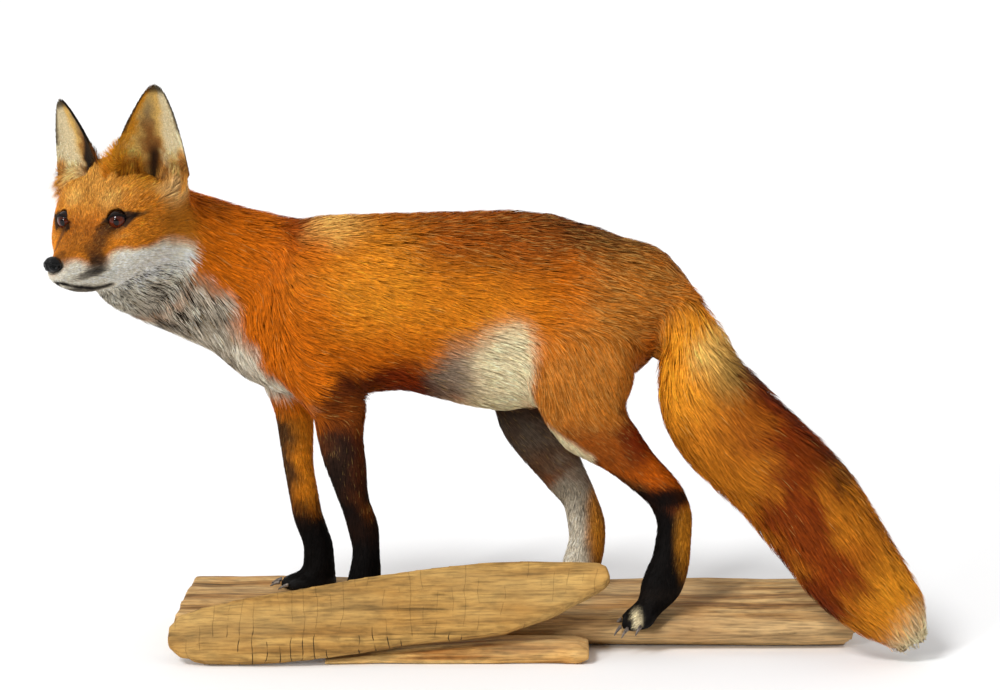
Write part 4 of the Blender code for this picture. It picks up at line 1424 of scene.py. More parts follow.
    def tail_lie(self, slices: int = 14) -> Array:
        """Finds the tail's heading from slices of its surface.

        Args:
            slices: how many slices its middle line runs through.

        Returns:
            A direction along that line for each point of the skin.
        """
        own = self.points[self.part("tail")]
        low, high = box_of("tail")
        axis = unit((high - low) * (1, -1, -1))
        along = own @ axis
        edges = np.linspace(along.min(), along.max(), slices + 1)
        slice_of = np.clip(np.digitize(along, edges) - 1, 0, slices - 1)
        middles = np.array([own[slice_of == number].mean(axis=0) for number in range(slices)])
        heading = unit(np.gradient(middles, axis=0))
        places = (edges[:-1] + edges[1:]) / 2
        every = self.points @ axis
        return unit(np.stack([np.interp(every, places, heading[:, k]) for k in range(3)], axis=1))

    def colours(self, head: Array, body: Array, on_head: Array) -> tuple[Array, Array, Array, Array]:
        """Colours the coat.

        Args:
            head: the points in the head's millimetres.
            body: the points in the body's millimetres.
            on_head: whether each point lies on the head.

        Returns:
            Base colour, tip colour, share of grizzled hair and share of dark locks at each point; the dark
            locks also hold painted shade on the throat below the cheeks.
        """
        x, _, z = body.T
        ahead, aside, rise = head.T
        rough = noise(self.points, 0.022, 11, 3)
        fine = noise(self.points, 0.006, 12, 2)
        base = self.grown(lambda coat: coat.shade.linear())
        base = spread(base, self.triangles, self.colour_ease)
        self.masks = {
            node: spread((self.labels == number).astype(float), self.triangles, self.mask_ease)
            for number, node in enumerate(FLESH)
        }
        chest, tail = self.on("trunk", "neck"), self.on("tail")
        base = marked(base, BODY_MARKINGS, body, rough, chest)
        for side in SIDES:
            for first, group in LEG_GROUPS.items():
                leg = self.on(*(f"{part}_{side}" for part in group))
                base = marked(base, LEG_MARKINGS.get(f"{first}_{side}", ()), body, rough, leg)
        mottle = step(-0.1, 0.5, noise(self.points, 0.020, 15, 3)) * tail * step(205, 250, x)
        base = RED_BROWN.over(base, 0.6 * mottle * step(392, 350, x))
        base = marked(base, TAIL_MARKINGS, body, rough, tail)
        for streak in STREAKS:
            near = body[:, 1] < 30 if "thigh_left" in streak.nodes else 1.0
            base = streak.shade.over(base, streak.weight(body, rough) * self.on(*streak.nodes) * near)
        throat = on_head * step(-58, -74, rise)
        bib = np.maximum(self.bib.weight(body, rough) * chest, throat)
        white = np.tile(WHITE.linear(), (len(head), 1))
        base = blended(base, GREY.over(white, step(-0.5, 0.5, fine + 0.4 * rough)), 0.95 * bib)
        patches = noise(self.points, (0.016, 0.016, 0.030), 19, 2)
        dark = step(-0.35, 0.35, patches) * step(-222, -262, x)
        # Painted shade: extra dark locks on the throat below the cheek ruff, where the head shades the bib.
        under = np.hypot((x + 328) / 48, (z - 366) / 30)
        sooty = (0.30 + 0.08 * dark + 0.24 * step(1.4, 0.5, under)) * step(-222, -250, x) * bib
        sooty = sooty * step(15, 35, np.abs(aside) + 40 * chest)
        base = GREY.over(base, 0.45 * dark * bib, 0.7)
        mirror = mirrored(head)
        for marking in HEAD_MARKINGS:
            covered = marking.weight(mirror, rough) * on_head
            base = marking.shade.over(base, covered * (1 - 0.9 * throat))
        sooty = np.maximum(sooty, 0.5 * on_head * step(-44, -58, rise) * step(26, 4, ahead))
        lips = step(4.6, 2.4, near_line(mirror - (0, 0, -0.6), LIP_LINE) + 0.5 * fine)
        base = BLACK.over(base, lips * on_head)
        for orbit in ORBITS:
            base = BLACK.over(base, 0.92 * orbit.rim(head) * on_head)
        base = base * (1 + 0.14 * fine + 0.12 * rough + 0.12 * on_head * fine)[:, None]
        back = step(370, 415, z) * chest * step(-150, -80, x)
        rump = step(40, 110, x) * self.on("trunk")
        rump = rump + self.on("thigh_left", "thigh_right", "shank_left") * step(205, 260, z)
        grizzle = 0.05 + 0.2 * back + 0.42 * np.clip(rump, 0, 1)
        grizzle = grizzle + 0.45 * on_head * step(-5, 16, rise) + 0.15 * on_head * step(-20, -5, rise)
        grizzle = grizzle * step(0.006, 0.05, base.max(axis=1)) * (1 - 0.7 * tail)
        base, tip, grizzle, sooty = (np.clip(rows, 0, 1) for rows in (base, base * 1.25, grizzle, sooty))
        return base, tip, grizzle, sooty

    def on(self, *nodes: str) -> Array:
        """1 on the named parts, fading to 0 just beyond them."""
        return np.clip(sum(self.masks[node] for node in nodes), 0, 1)

    def dress(self, fields: Fields, lids: tuple[Array, Array, Array]) -> Object:
        """Makes the skin's object, coloured as the coat over it but darker with painted shade, the more so
        where the coat is deep.

        Args:
            fields: the skin with its ears.
            lids: points, triangles and colours of the eyelids' rims.

        Returns:
            The object, which replaces all the flesh.
        """
        points, triangles, colours = lids
        # Painted shade under the coat: the skin is darker than the hair over it, the more so where the coat
        # is deep.
        shown = fields.base * (0.85 - 0.35 * step(0.8, 3.5, fields.depth))[:, None]
        obj = mesh_object(
            "skin", np.concatenate((fields.points, points)),
            np.concatenate((fields.triangles, triangles + len(fields.points))),
        )
        paint(obj, "coat", np.concatenate((shown, colours)))
        placed(obj, "coat", self.finish.make(), *FLESH, *EARS)
        return obj


def flattened(lie: Array, normals: Array) -> Array:
    """Directions laid into the surface, with length one."""
    return unit(lie - normals * (lie * normals).sum(axis=1)[:, None])


def part_of(node: str) -> str:
    """A node's name without its side."""
    for side in SIDES:
        node = node.removesuffix(f"_{side}")
    return node


def region_of(node: str) -> str:
    """The coat piece that a node's hair belongs to."""
    part = part_of(node)
    groups = {"face": ("head", "lower_jaw"), "front_legs": FRONT_LEG, "hind_legs": HIND_LEG}
    return next((name for name, group in groups.items() if part in group), part)


def joined(parts: Sequence[Fields]) -> Fields:
    """Several skins as one."""
    start = np.cumsum([0] + [len(part.points) for part in parts])
    values = {}
    for name in Fields.__dataclass_fields__:
        rows = [getattr(part, name) for part in parts]
        if name == "triangles":
            rows = [row + first for row, first in zip(rows, start)]
        values[name] = np.concatenate(rows)
    return Fields(**values)


@dataclass(frozen=True)
class Lids:
    """The dark rims of the eyelids: angle beyond the opening, height over the ball, and darkness."""

    profile: tuple[Triple, ...] = (
        (-1.0, -0.8, 1.0), (-1.0, 0.25, 1.0), (2.5, 0.6, 1.0),
        (7.0, 0.75, 1.0), (12.0, 0.6, 0.9), (17.0, -0.2, 0.7),
    )
    segments: int = 56

    def build(self, orbit: Orbit) -> tuple[Array, Array, Array]:
        """Makes one eye's rims.

        Args:
            orbit: the eye.

        Returns:
            Points, triangles and colours.
        """
        turn = np.linspace(0, 2 * pi, self.segments, endpoint=False)
        around = orbit.half_width * np.cos(turn)
        rise = np.where(np.sin(turn) >= 0, orbit.lid(around, True), -orbit.lid(around, False))
        rows, colours = [], []
        for beyond, over, dark in self.profile:
            grow = radians(beyond)
            out_around = around + grow * np.cos(turn) * 0.9
            out_rise = rise + grow * np.sin(turn)
            rows.append(orbit.at(out_around, out_rise, np.full(self.segments, orbit.radius + over)))
            shade = RED_BROWN.linear() * (1 - dark) * 0.5 + BLACK.linear() * dark
            colours.append(np.tile(shade, (self.segments, 1)))
        quads = ring_quads(len(self.profile), self.segments)[:, :: orbit.sign]
        return HEAD.outside(np.concatenate(rows)), split_quads(quads), np.concatenate(colours)

    def both(self) -> tuple[Array, Array, Array]:
        """Both eyes' rims in one set."""
        first, second = (self.build(orbit) for orbit in ORBITS)
        triangles = np.concatenate((first[1], second[1] + len(first[0])))
        return np.concatenate((first[0], second[0])), triangles, np.concatenate((first[2], second[2]))


# ---- coat


class Tuft(Enum):
    """How a tuft is made: how far up it each pair of points lies, and its triangles."""

    SHORT = ((0, 0.5, 1.0), ((0, 1, 3), (0, 3, 2), (2, 3, 4)))
    LONG = ((0, 0.36, 0.72, 1.0), ((0, 1, 3), (0, 3, 2), (2, 3, 5), (2, 5, 4), (4, 5, 6)))

    @property
    def levels(self) -> Array:
        """From 0 at the root to 1 at the tip."""
        return np.array(self.value[0])

    @property
    def faces(self) -> Array:
        """Rows of three point numbers."""
        return np.array(self.value[1])


def paired(rows: Array) -> Array:
    """Each level's rows twice over, but the tip's once, tuft by tuft."""
    return np.repeat(rows, 2, axis=0)[:-1].swapaxes(0, 1).reshape(-1, 3)


@dataclass(frozen=True)
class Roots:
    """Where tufts stand: the triangle under each, and its share of the triangle's corners."""

    fields: Fields
    triangle: Array
    weights: Array

    @property
    def ends(self) -> Array:
        """The three points around each root."""
        return self.fields.triangles[self.triangle]

    def chosen(self, rows: Array) -> "Roots":
        """Some of the roots."""
        return Roots(self.fields, self.triangle[rows], self.weights[rows])

    def at(self, values: Array) -> Array:
        """A field's value at each root."""
        rows = values[self.ends]
        return (rows * (self.weights[..., None] if rows.ndim == 3 else self.weights)).sum(axis=1)


@dataclass
class Fur:
    """Solid tufts over the skin, which follow the lie of the coat along its surface."""

    fields: Fields
    unwrap: Array
    stride: float = 0.009
    strides: int = 6
    limit: int = 190000
    clump: float = 0.42
    seed: int = 20
    patch: float = 0.003
    quick_share: float = 0.25
    finish: CoatFinish = CoatFinish()
    rng: np.random.Generator = field(init=False)
    flow: tuple[Array, Array, Array] = field(init=False)

    def streams(self) -> tuple[Array, Array, Array]:
        """Finds where hair rooted at each point runs: over the skin, or straight on over an ear.

        Returns:
            Places, normals and coat depth at each stride along it.
        """
        fields = self.fields
        straight = fields.region == REGIONS.index("ears")
        soft = np.flatnonzero(~straight).tolist()
        tree = KDTree(len(soft))
        for number in soft:
            tree.insert(fields.points[number], number)
        tree.balance()
        places, normals, depths = [fields.points], [fields.normals], [fields.depth]
        index = np.arange(len(fields.points))
        for _ in range(self.strides):
            onward = places[-1] + fields.lie[index] * self.stride
            for number in soft:
                index[number] = tree.find(onward[number])[1]
            normal = fields.normals[index]
            lift = ((onward - fields.points[index]) * normal).sum(axis=1)
            settled = onward - normal * lift[:, None]
            places.append(np.where(straight[:, None], onward, settled))
            normals.append(normal)
            depths.append(fields.depth[index])
        return np.array(places), np.array(normals), np.array(depths)

    def grow(self) -> None:
        """Grows all the tufts and makes the coat's pieces."""
        fields, rng = self.fields, np.random.default_rng(self.seed)
        first, second, third = (fields.points[fields.triangles[:, corner]] for corner in range(3))
        area = np.linalg.norm(np.cross(second - first, third - first), axis=1) / 2
        density = fields.density[fields.triangles].mean(axis=1) * 1.0
        count = np.floor(area / MM**2 * density + rng.random(len(area))).astype(int)
        triangle = np.repeat(np.arange(len(count)), count)
        root, lean = np.sqrt(rng.random(len(triangle))), rng.random(len(triangle))
        roots = Roots(fields, triangle, np.stack((1 - root, root * (1 - lean), root * lean), axis=1))
        self.rng, self.flow = rng, self.streams()
        region = fields.region[roots.ends[:, 0]]
        for number, name in enumerate(REGIONS):
            self.pieces(name, roots.chosen(region == number))

    def pieces(self, name: str, roots: Roots) -> None:
        """Splits one region's tufts from front to back into pieces that stay under the limit."""
        tuft = Tuft.SHORT if name in SHORT_COATS else Tuft.LONG
        parts = ceil(len(roots.triangle) * len(tuft.faces) / self.limit)
        order = np.argsort(self.fields.points[roots.ends[:, 0], 0], kind="stable")
        for number, rows in enumerate(np.array_split(order, parts)):
            label = f"coat_{name}" if parts == 1 else f"coat_{name}_{number + 1}"
            self.tufts(label, roots.chosen(rows), tuft)

    def along(self, values: Array, roots: Roots, way: Array) -> Array:
        """Reads a stream's value, blended over the three corners at each root.

        Args:
            values: the value at each stride of each point's stream.
            roots: the roots.
            way: how far along each stream to read, in metres.

        Returns:
            One value or row for each root.
        """
        place = np.clip(way / self.stride, 0, self.strides - 1e-6)
        low = place.astype(int)
        total = 0
        for corner, weight in zip(roots.ends.T, roots.weights.T):
            weight = weight[:, None] if values.ndim == 3 else weight
            total = total + blended(values[low, corner], values[low + 1, corner], place - low) * weight
        return total

    def tufts(self, name: str, roots: Roots, tuft: Tuft) -> None:
        """Makes one piece of the coat.

        Args:
            name: the piece's name.
            roots: where its tufts stand.
            tuft: how each tuft is made.
        """
        fields, rng, levels, count = self.fields, self.rng, tuft.levels, len(roots.triangle)
        length = roots.at(fields.length) * MM * (0.7 + 0.5 * rng.random(count))
        length = np.minimum(length, self.stride * self.strides * 0.98)
        width = roots.at(fields.width) * MM * (0.7 + 0.6 * rng.random(count))
        height = 0.30 + 0.68 * rng.random(count) ** 0.8
        full = np.interp(levels, (0, 0.35, 0.75, 1.0), (0.7, 1.0, 0.75, 0.0))
        lean = rng.normal(0, 0.10, count)
        roll = rng.normal(0, 0.45, count).clip(-0.9, 0.9)[:, None]
        flow_places, flow_normals, flow_depths = self.flow
        centres, normals = [], []
        for level in levels:
            way = length * level
            normal = unit(self.along(flow_normals, roots, way))
            depth = self.along(flow_depths, roots, way) * MM
            rise = depth * height * (1 - (1 - level) ** 1.6) - 0.0003 * (1 - level)
            centres.append(self.along(flow_places, roots, way) + normal * rise[:, None])
            normals.append(normal)
        centres, normals = np.array(centres), np.array(normals)
        heading = unit(centres[-1] - centres[0])
        aside = unit(np.cross(heading, normals[0]))
        bend = rng.normal(0, 0.06, count)
        for number, level in enumerate(levels):
            centres[number] += aside * (length * (lean * level + bend * level**2))[:, None]
        centres, lock = self.gathered(centres, levels, roots.at(fields.length))
        tangents = unit(np.gradient(centres, axis=0))
        across = unit(np.cross(tangents, normals))
        rolled = across * np.cos(roll) + normals * np.sin(roll)
        blade = unit(np.cross(rolled, tangents))
        half = rolled * (width * full[:, None] / 2)[..., None]
        edges = np.stack((centres - half, centres + half), axis=1).reshape(-1, count, 3)[:-1]
        first = np.arange(count)[:, None, None] * len(edges)
        obj = mesh_object(name, edges.swapaxes(0, 1).reshape(-1, 3), (first + tuft.faces).reshape(-1, 3))
        note(obj, "custom_normal", paired(unit(normals * 0.7 + blade * 0.45)))
        paint(obj, "coat", self.colours(roots, levels, lock))
        self.lay_out(obj, roots, tuft)
        placed(obj, "coat", bpy.data.materials.get(self.finish.name) or self.finish.make())

    def gathered(self, centres: Array, levels: Array, length: Array) -> tuple[Array, Array]:
        """Draws the tips of neighbouring tufts together into locks.

        Args:
            centres: the tufts' middle lines, level by level.
            levels: how far up the tuft each level lies, from 0 to 1.
            length: each tuft's length in millimetres.

        Returns:
            The tufts' middle lines, and a number from 0 to 1 for each that its whole lock shares.
        """
        size = float(np.clip(length.mean() * 0.30, 2.0, 9.0)) * MM
        root = centres[0]
        warp = np.stack([noise(root, size * 3, 40 + axis) for axis in range(3)], axis=1) * size * 0.9
        cell = np.floor((root + warp) / size).astype(np.int64)
        lock = np.unique(cell, axis=0, return_inverse=True)[1].reshape(-1)
        members = np.bincount(lock)

        def mean(rows: Array) -> Array:
            """The mean row of each lock."""
            return np.stack([np.bincount(lock, rows[:, axis]) / members for axis in range(3)], axis=1)

        pull = (mean(root) + mean(centres[-1] - root))[lock] - centres[-1]
        strength = self.clump * (0.6 + 0.8 * lattice(np.stack((lock, lock, lock), axis=1), 5))
        for number, level in enumerate(levels):
            centres[number] += pull * (strength * level**2)[:, None]
        return centres, lattice(np.stack((lock, lock + 7, lock * 3), axis=1), 11)

    def colours(self, roots: Roots, levels: Array, lock: Array) -> Array:
        """Colours one piece's tufts from root to tip.

        Args:
            roots: where the tufts stand.
            levels: how far up the tuft each level lies, from 0 to 1.
            lock: a number from 0 to 1 for each tuft that its whole lock shares.

        Returns:
            A linear colour for each point.
        """
        rng, count, fields = self.rng, len(lock), self.fields
        base, tip = roots.at(fields.base), roots.at(fields.tip)
        vivid = 0.17 + 0.11 * step(14, 9, roots.at(fields.length))
        bright = np.exp(vivid * (rng.normal(0, 1, count) + lock))[:, None]
        base, tip = base * bright, tip * bright
        chance = rng.random(count)
        dark = (0.45 * (0.5 + 0.5 * lock) + 0.55 * chance < roots.at(fields.sooty))[:, None]
        soot = SOOT.linear() * (0.5 + rng.random(count))[:, None]
        base, tip = np.where(dark, soot, base), np.where(dark, soot * 1.3, tip)
        grizzle = roots.at(fields.grizzle)
        pale = (chance < grizzle * 0.6)[:, None]
        sooty = (chance > 1 - grizzle * 0.5)[:, None]
        tip = np.where(pale, PALE_GOLD.over(tip, 0.5), tip)
        tip = np.where(sooty, tip * 0.25, tip)
        rows = [
            blended(base, tip, step(0.35, 1.0, level)) * (0.55 + 0.45 * min(level / 0.45, 1.0))
            for level in levels
        ]
        return np.clip(paired(np.array(rows)), 0, 1)

    def lay_out(self, obj: Object, roots: Roots, tuft: Tuft) -> None:
        """Gives each tuft a small patch at its root's place on the skin's unwrap.

        Args:
            obj: the piece.
            roots: where its tufts stand.
            tuft: how each tuft is made.
        """
        root = (self.unwrap[roots.triangle] * roots.weights[..., None]).sum(axis=1)
        root = np.clip(root, self.patch, 1 - self.patch)
        offsets = [(side, level - 0.5) for level in tuft.levels[:-1] for side in (-0.5, 0.5)] + [(0.0, 0.5)]
        corners = (root[:, None] + np.array(offsets) * self.patch)[:, tuft.faces.ravel()]
        layer = obj.data.uv_layers.new(name="OFBake")
        layer.data.foreach_set("uv", corners.astype(np.float32).ravel())


def unwrapped(skin: Object, triangles: int) -> Array:
    """Unwraps the skin.

    Args:
        skin: its object.
        triangles: how many of its first triangles are wanted.

    Returns:
        The places of three corners for each of them.
    """
    for obj in bpy.context.selected_objects:
        obj.select_set(False)
    bpy.context.view_layer.objects.active = skin
    skin.select_set(True)
    bpy.ops.object.mode_set(mode="EDIT")
    bpy.ops.mesh.select_all(action="SELECT")
    bpy.ops.uv.smart_project(angle_limit=radians(66), island_margin=0.001)
    bpy.ops.object.mode_set(mode="OBJECT")
    skin.select_set(False)
    layer = skin.data.uv_layers.active
    corners = np.empty(2 * len(skin.data.loops), np.float32)
    layer.data.foreach_get("uv", corners)
    return corners.reshape(-1, 3, 2)[:triangles].astype(float)


# ---- eyes, nose, claws, whiskers


@dataclass
class Eyes:
    """Glass eyes: a ball with a raised clear front, looking a little to the fox's left."""

    glance: float = radians(17)
    spread_out: float = radians(10)
    lift: float = radians(4)
    bulge: float = 0.5
    play: float = 0.35
    rings: int = 40
    segments: int = 72
    finish: EyeFinish = EyeFinish()

    def build(self) -> None:
        """Makes and dresses both eyes."""
        material = self.finish.make()
        for orbit in ORBITS:
            self.ball(orbit, material)

    def ball(self, orbit: Orbit, material: Material) -> None:
        """Makes one eye, and stores on it where each point lies as its front is looked at.

        Args:
            orbit: where the eye sits.
            material: its finish.
        """
        angle = self.glance + orbit.sign * self.spread_out
        level = cos(self.lift)
        gaze = np.array((cos(angle) * level, sin(angle) * level, sin(self.lift)))
        aside = unit(np.cross(UP, gaze))
        rise = np.cross(gaze, aside)
        from_front = np.linspace(0, pi, self.rings + 1)[1:-1]
        turn = np.linspace(0, 2 * pi, self.segments, endpoint=False)
        out, turn = np.meshgrid(from_front, turn, indexing="ij")
        parts = (np.cos(out), np.sin(out) * np.cos(turn), np.sin(out) * np.sin(turn))
        away = np.stack(parts, axis=-1) @ np.array((gaze, aside, rise))
        radius = orbit.radius - self.play
        size = radius + self.bulge * step(0.75, 0.1, np.sin(out)) * (np.cos(out) > 0)
        poles = np.array((gaze * (radius + self.bulge), -gaze * radius))
        look = np.concatenate(((away * size[..., None]).reshape(-1, 3), poles))
        obj = mesh_object(f"glass_eye_{orbit.side}", HEAD.outside(orbit.centre + look), self.faces())
        front = look @ gaze
        view = np.stack((look @ aside, look @ rise, front), axis=1) / orbit.radius
        behind = front < 0
        view[behind, :2] = unit(view[behind, :2] + 1e-9) * 1.2
        note(obj, "look", view)
        placed(obj, "eye", material, f"eye_{orbit.side}")

    def faces(self) -> Array:
        """Triangles of a ball made in rings from its front."""
        rings, segments = self.rings - 1, self.segments
        here, onward = np.arange(segments), np.roll(np.arange(segments), -1)
        quads = ring_quads(rings, segments)[:, (0, 3, 2, 1)]
        front, back = rings * segments, rings * segments + 1
        last = (rings - 1) * segments
        cap = np.stack((np.full(segments, front), here, onward), axis=1)
        end = np.stack((np.full(segments, back), onward + last, here + last), axis=1)
        return np.concatenate((split_quads(quads), cap, end))


@dataclass
class Nose:
    """The nose pad with its nostrils and the groove between them."""

    voxel: float = 0.00055
    nostril: tuple[Triple, ...] = (
        (5.0, 3.6, 0.6), (4.0, 6.2, -0.4), (0.5, 8.0, -1.8),
    )
    nostril_width: float = 2.5
    nostril_depth: float = 4.2
    groove_width: float = 1.1
    finish: NoseFinish = NoseFinish()

    def build(self) -> None:
        """Makes and dresses the nose."""
        points, triangles = fused(("nose",), self.voxel, 8)
        centre = HEAD.inside(middle_of("nose")[None])[0]
        normals = point_normals(points, triangles) @ HEAD.axes.T
        places = HEAD.inside(points) - centre
        mirror = mirrored(places)
        hole = near_line(mirror, np.array(self.nostril))
        narrow = self.nostril_width * (1 - 0.45 * step(4.5, 8.0, mirror[:, 1]))
        sunk = self.nostril_depth * np.clip(1 - (hole / narrow) ** 2, 0, 1) ** 0.7
        wing = 0.5 * np.exp(-((hole - 3.2) / 1.0) ** 2)
        groove = 0.8 * np.exp(-((mirror[:, 1] / self.groove_width) ** 2)) * step(2, -1, places[:, 2])
        pebble = 0.10 * noise(points, 0.0011, 3)
        places = places - normals * (sunk + groove - wing - pebble)[:, None]
        obj = mesh_object("nose_pad", HEAD.outside(places + centre), triangles)
        placed(obj, "nose", self.finish.make(), "nose")


@dataclass
class Whiskers:
    """Fine dark whiskers in rows on both sides of the muzzle."""

    rows: tuple[Triple, ...] = (
        (56, 16, -33), (50, 19, -35), (44, 22, -37), (38, 25, -39),
        (53, 17, -38), (46, 21, -41), (40, 24, -44),
    )
    length: tuple[float, float] = (20, 34)
    radius: float = 0.16
    seed: int = 5
    finish: HornFinish = HornFinish("whisker_hair", (0.012, 0.01, 0.01), (0.05, 0.04, 0.035))

    def build(self, tree: BVHTree) -> None:
        """Makes the whiskers as thin tapered tubes.

        Args:
            tree: the skin that they are rooted in.
        """
        rng = np.random.default_rng(self.seed)
        points, triangles = [], []
        for sign in (1, -1):
            for row in self.rows:
                root = np.array(row) * (1, sign, 1)
                found = tree.find_nearest(Vector(HEAD.outside(root)))[0]
                start = HEAD.inside(np.array(found)[None])[0]
                aim = unit(np.array((-0.75, 0.62 * sign, -0.28)) + rng.normal(0, 0.08, 3))
                droop = np.array((-0.35, -0.10 * sign, -0.20))
                size = rng.uniform(*self.length)
                turns = np.linspace(0, 1, 9)
                line = start + aim * (size * turns)[:, None] + droop * (size * 0.35 * turns**2)[:, None]
                self.tube(line, points, triangles)
        obj = mesh_object("whiskers", HEAD.outside(np.concatenate(points)), np.concatenate(triangles))
        placed(obj, "coat", self.finish.make())

    def tube(self, line: Array, points: list[Array], triangles: list[Array]) -> None:
        """Adds one tapered tube.

        Args:
            line: its middle line from root to tip.
            points: the list that its points are added to.
            triangles: the list that its triangles are added to.
        """
        along = unit(np.gradient(line, axis=0))
        aside = unit(np.cross(along, UP))
        rise = np.cross(aside, along)
        start = sum(len(rows) for rows in points)
        radius = self.radius * np.linspace(1, 0.15, len(line))
        for turn in np.linspace(0, 2 * pi, 4, endpoint=False):
            points.append(line + (aside * cos(turn) + rise * sin(turn)) * radius[:, None])
        steps = len(line)
        here = start + np.arange(steps - 1)
        for side in range(4):
            first, second = here + side * steps, here + (side + 1) % 4 * steps
            triangles.append(split_quads(np.stack((first, second, second + 1, first + 1), axis=1)))


@dataclass
class Claws:
    """The claws keep their CAD shape, rounded off and given a horn finish."""

    fill: float = 0.4
    weld: float = 0.01
    finish: HornFinish = HornFinish("claw_horn", (0.03, 0.022, 0.018), (0.26, 0.20, 0.15))

    def dress(self) -> None:
        """Rounds and dresses every claw."""
        material = self.finish.make()
        claws = [obj for name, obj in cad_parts.items() if name.startswith("claw_")]
        for claw in claws:
            weld = claw.modifiers.new("weld", "WELD")
            weld.merge_threshold = self.weld * MM
            fill = claw.modifiers.new("fill", "DISPLACE")
            fill.strength = self.fill * MM
            fill.mid_level = 0.0
            rounding = claw.modifiers.new("rounding", "SUBSURF")
            rounding.levels = rounding.render_levels = 1
            claw.data.materials.clear()
            claw.data.materials.append(material)
            claw.data.shade_smooth()
        LOG.info("claws dressed: %d", len(claws))


# ---- driftwood


@dataclass
class Timber:
    """A piece of driftwood: its CAD shape with worn edges, grain grooves and chipped edges."""

    node: str
    finish: WoodFinish
    voxel: float
    groove: float = 1.2
    chips: float = 0.0
    seed: int = 1
    deepest: float = 4.0

    def build(self) -> None:
        """Makes and dresses the piece."""
        points, triangles = fused((self.node,), self.voxel, 3)
        normals = point_normals(points, triangles)
        places = points - box_of(self.node)[0]
        wave = [0.008 * noise(points, 0.09, self.seed + 3 + axis, 2) for axis in range(3)]
        grain = places + np.stack(wave, axis=1)
        long_grain = noise(grain, (0.16, 0.007, 0.007), self.seed, 3)
        fine_grain = noise(grain, (0.07, 0.0028, 0.0028), self.seed + 1, 2)
        dent = noise(points, 0.035, self.seed + 2, 2)
        inward = self.groove * (0.55 + 0.7 * long_grain + 0.25 * fine_grain) + 0.7 * dent
        chip = noise(points, (0.022, 0.02, 0.012), self.seed + 7, 2)
        inward = inward + self.chips * step(0.016, 0.004, places[:, 2]) * step(0.1, 0.5, chip)
        keep = self.clear_of_feet(points) * step(0.0005, 0.005, points[:, 2])
        inward = np.clip(inward, 0.0, self.deepest) * keep
        moved = points - normals * (inward * MM)[:, None]
        moved[:, 2] = np.where(points[:, 2] < 0.002, points[:, 2].clip(0.0), moved[:, 2])
        obj = mesh_object(f"{self.node}_wood", moved, triangles)
        note(obj, "groove", 0.35 * step(0.25, 0.6, long_grain))
        band = step(0.042, 0.020, places[:, 2]) * step(0.02, 0.10, places[:, 0])
        note(obj, "band", np.clip(0.25 + band, 0, 1))
        placed(obj, self.node.removeprefix("base_"), self.finish.make(), self.node)

    def clear_of_feet(self, points: Array) -> Array:
        """0 at the paws' seats, rising to 1 away from them."""
        keep = np.ones(len(points))
        for node in (name for name in FLESH if "_paw_" in name):
            low, high = box_of(node)
            away = np.maximum(np.maximum(low - points, points - high), 0)
            keep = np.minimum(keep, step(0.002, 0.012, np.linalg.norm(away, axis=1)))
        return keep


TIMBERS = (
    Timber("base_log", WoodFinish(
        "log_wood", (0.26, 0.12, 0.035), (0.52, 0.29, 0.10), (0.72, 0.46, 0.19), (0.50, 0.23, 0.06),
        (0.66, 0.46, 0.23), 0.45, 0.9,
    ), 0.0030, groove=1.6, chips=1.0, seed=3),
    Timber("base_slab", WoodFinish(
        "slab_wood", (0.30, 0.15, 0.035), (0.44, 0.24, 0.062), (0.56, 0.33, 0.095), (0.42, 0.20, 0.04),
        (0.52, 0.35, 0.13), 0.35, 0.6, 0.9,
    ), 0.0022, groove=1.1, chips=3.0, seed=13),
    Timber("base_board", WoodFinish(
        "board_wood", (0.34, 0.14, 0.03), (0.68, 0.39, 0.12), (0.86, 0.58, 0.23), (0.64, 0.30, 0.07),
        (0.72, 0.52, 0.26), 0.3, 0.7,
    ), 0.0020, groove=1.2, chips=1.0, seed=23),
)


# ---- stage


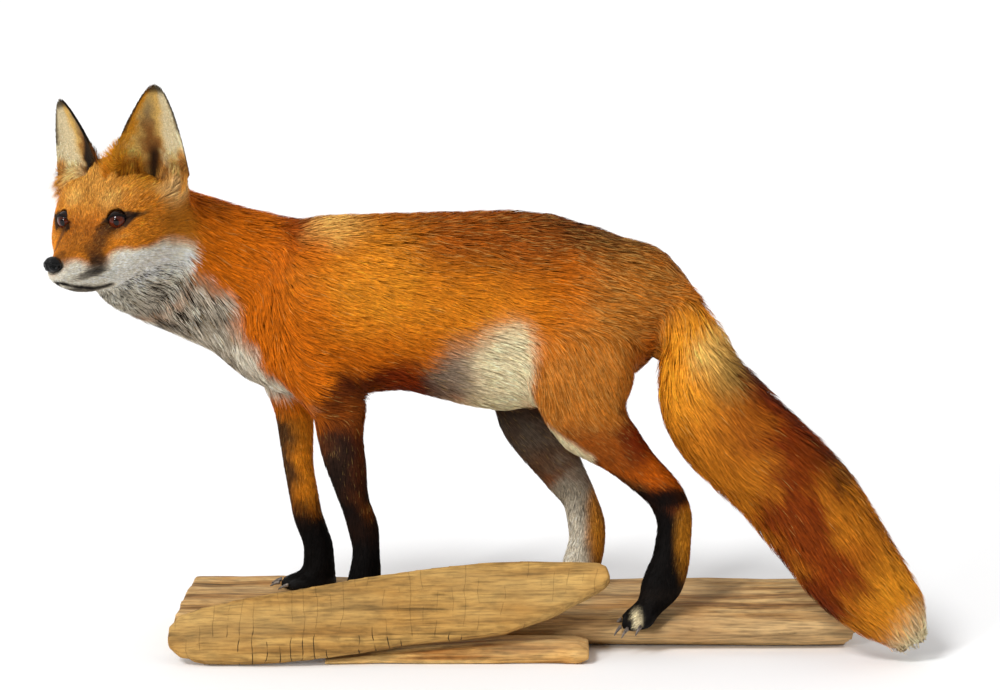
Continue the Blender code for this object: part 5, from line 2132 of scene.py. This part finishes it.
@dataclass
class Studio:
    """Floor, soft lights and the camera."""

    distance: float = 3.2
    elevation: float = radians(9.5)
    aim: Triple = (392.96, 100.02, -140.3)
    lens: float = 115.2
    world: float = 0.69
    key: float = 1.95
    spark: float = 0.95
    dim: float = 0.03
    floor_half: float = 40.0
    floor_level: float = -0.0008

    def set_up(self) -> None:
        """Makes the whole stage."""
        self.floor()
        self.lights()
        self.camera()

    def floor(self) -> None:
        """A pale floor under everything."""
        half, level = self.floor_half, self.floor_level
        corners = ((-half, -half), (half, -half), (half, half), (-half, half))
        points = np.array([(*corner, level) for corner in corners])
        floor = mesh_object("floor", points, split_quads(np.arange(4)[None]))
        nodes = Nodes("floor_paper")
        tone = nodes.grey_ramp(nodes.noise(3.0, 2), (0.0, 0.92), (1.0, 0.95))
        floor.data.materials.append(nodes.finished(tone, 0.9))

    def lights(self) -> None:
        """A broad soft key from the upper left front, a fill and a pale world."""
        world = bpy.data.worlds.new("studio")
        world.use_nodes = True
        new, link = world.node_tree.nodes.new, world.node_tree.links.new
        background = world.node_tree.nodes["Background"]
        background.inputs["Strength"].default_value = self.world
        split = new("ShaderNodeSeparateXYZ")
        link(new("ShaderNodeTexCoord").outputs["Generated"], split.inputs[0])
        raised = new("ShaderNodeMath")
        raised.operation = "MULTIPLY_ADD"
        raised.inputs[1].default_value = 1.2
        link(split.outputs["Z"], raised.inputs[0])
        link(split.outputs["Y"], raised.inputs[2])
        room = new("ShaderNodeMapRange")
        for socket, value in (("From Min", -0.66), ("From Max", 0.0), ("To Min", self.dim), ("To Max", 1.0)):
            room.inputs[socket].default_value = value
        link(raised.outputs[0], room.inputs["Value"])
        link(room.outputs["Result"], background.inputs["Color"])
        bpy.context.scene.world = world
        self.sun("key", self.key, radians(15), (-0.45, -0.62, 0.75))
        self.sun("spark", self.spark, radians(8), (-0.53, -0.77, 0.34))

    def sun(self, name: str, strength: float, width: float, place: Triple) -> None:
        """A distant light of a given angular width that shines from a direction."""
        light = bpy.data.lights.new(name, "SUN")
        light.energy = strength
        light.angle = width
        obj = linked(name, light)
        obj.rotation_euler = Vector(place).to_track_quat("Z", "Y").to_euler()

    def camera(self) -> None:
        """The camera at the display's viewing angle."""
        camera = bpy.data.cameras.new("camera")
        camera.lens = self.lens
        obj = linked("camera", camera)
        target = Vector(HEAD.origin + np.array(self.aim) * MM)
        back = Vector((0.0, -cos(self.elevation), sin(self.elevation)))
        obj.location = target + back * self.distance
        obj.rotation_euler = (-back).to_track_quat("-Z", "Y").to_euler()
        bpy.context.scene.camera = obj
        bpy.context.scene.view_settings.view_transform = "Standard"


def main() -> None:
    """Builds and dresses the mount, piece by piece."""
    logging.basicConfig(level=logging.INFO, format="%(message)s")
    Studio().set_up()
    for timber in TIMBERS:
        timber.build()
    skin = Skin()
    fields = joined([skin.build()] + [ear.fields() for ear in EAR_PAIR])
    skin_object = skin.dress(fields, Lids().both())
    Eyes().build()
    Nose().build()
    Claws().dress()
    Whiskers().build(BVHTree.FromPolygons(fields.points.tolist(), fields.triangles.tolist()))
    unwrap = unwrapped(skin_object, len(fields.triangles))
    Fur(fields, unwrap).grow()


if __name__ == "__main__":
    main()
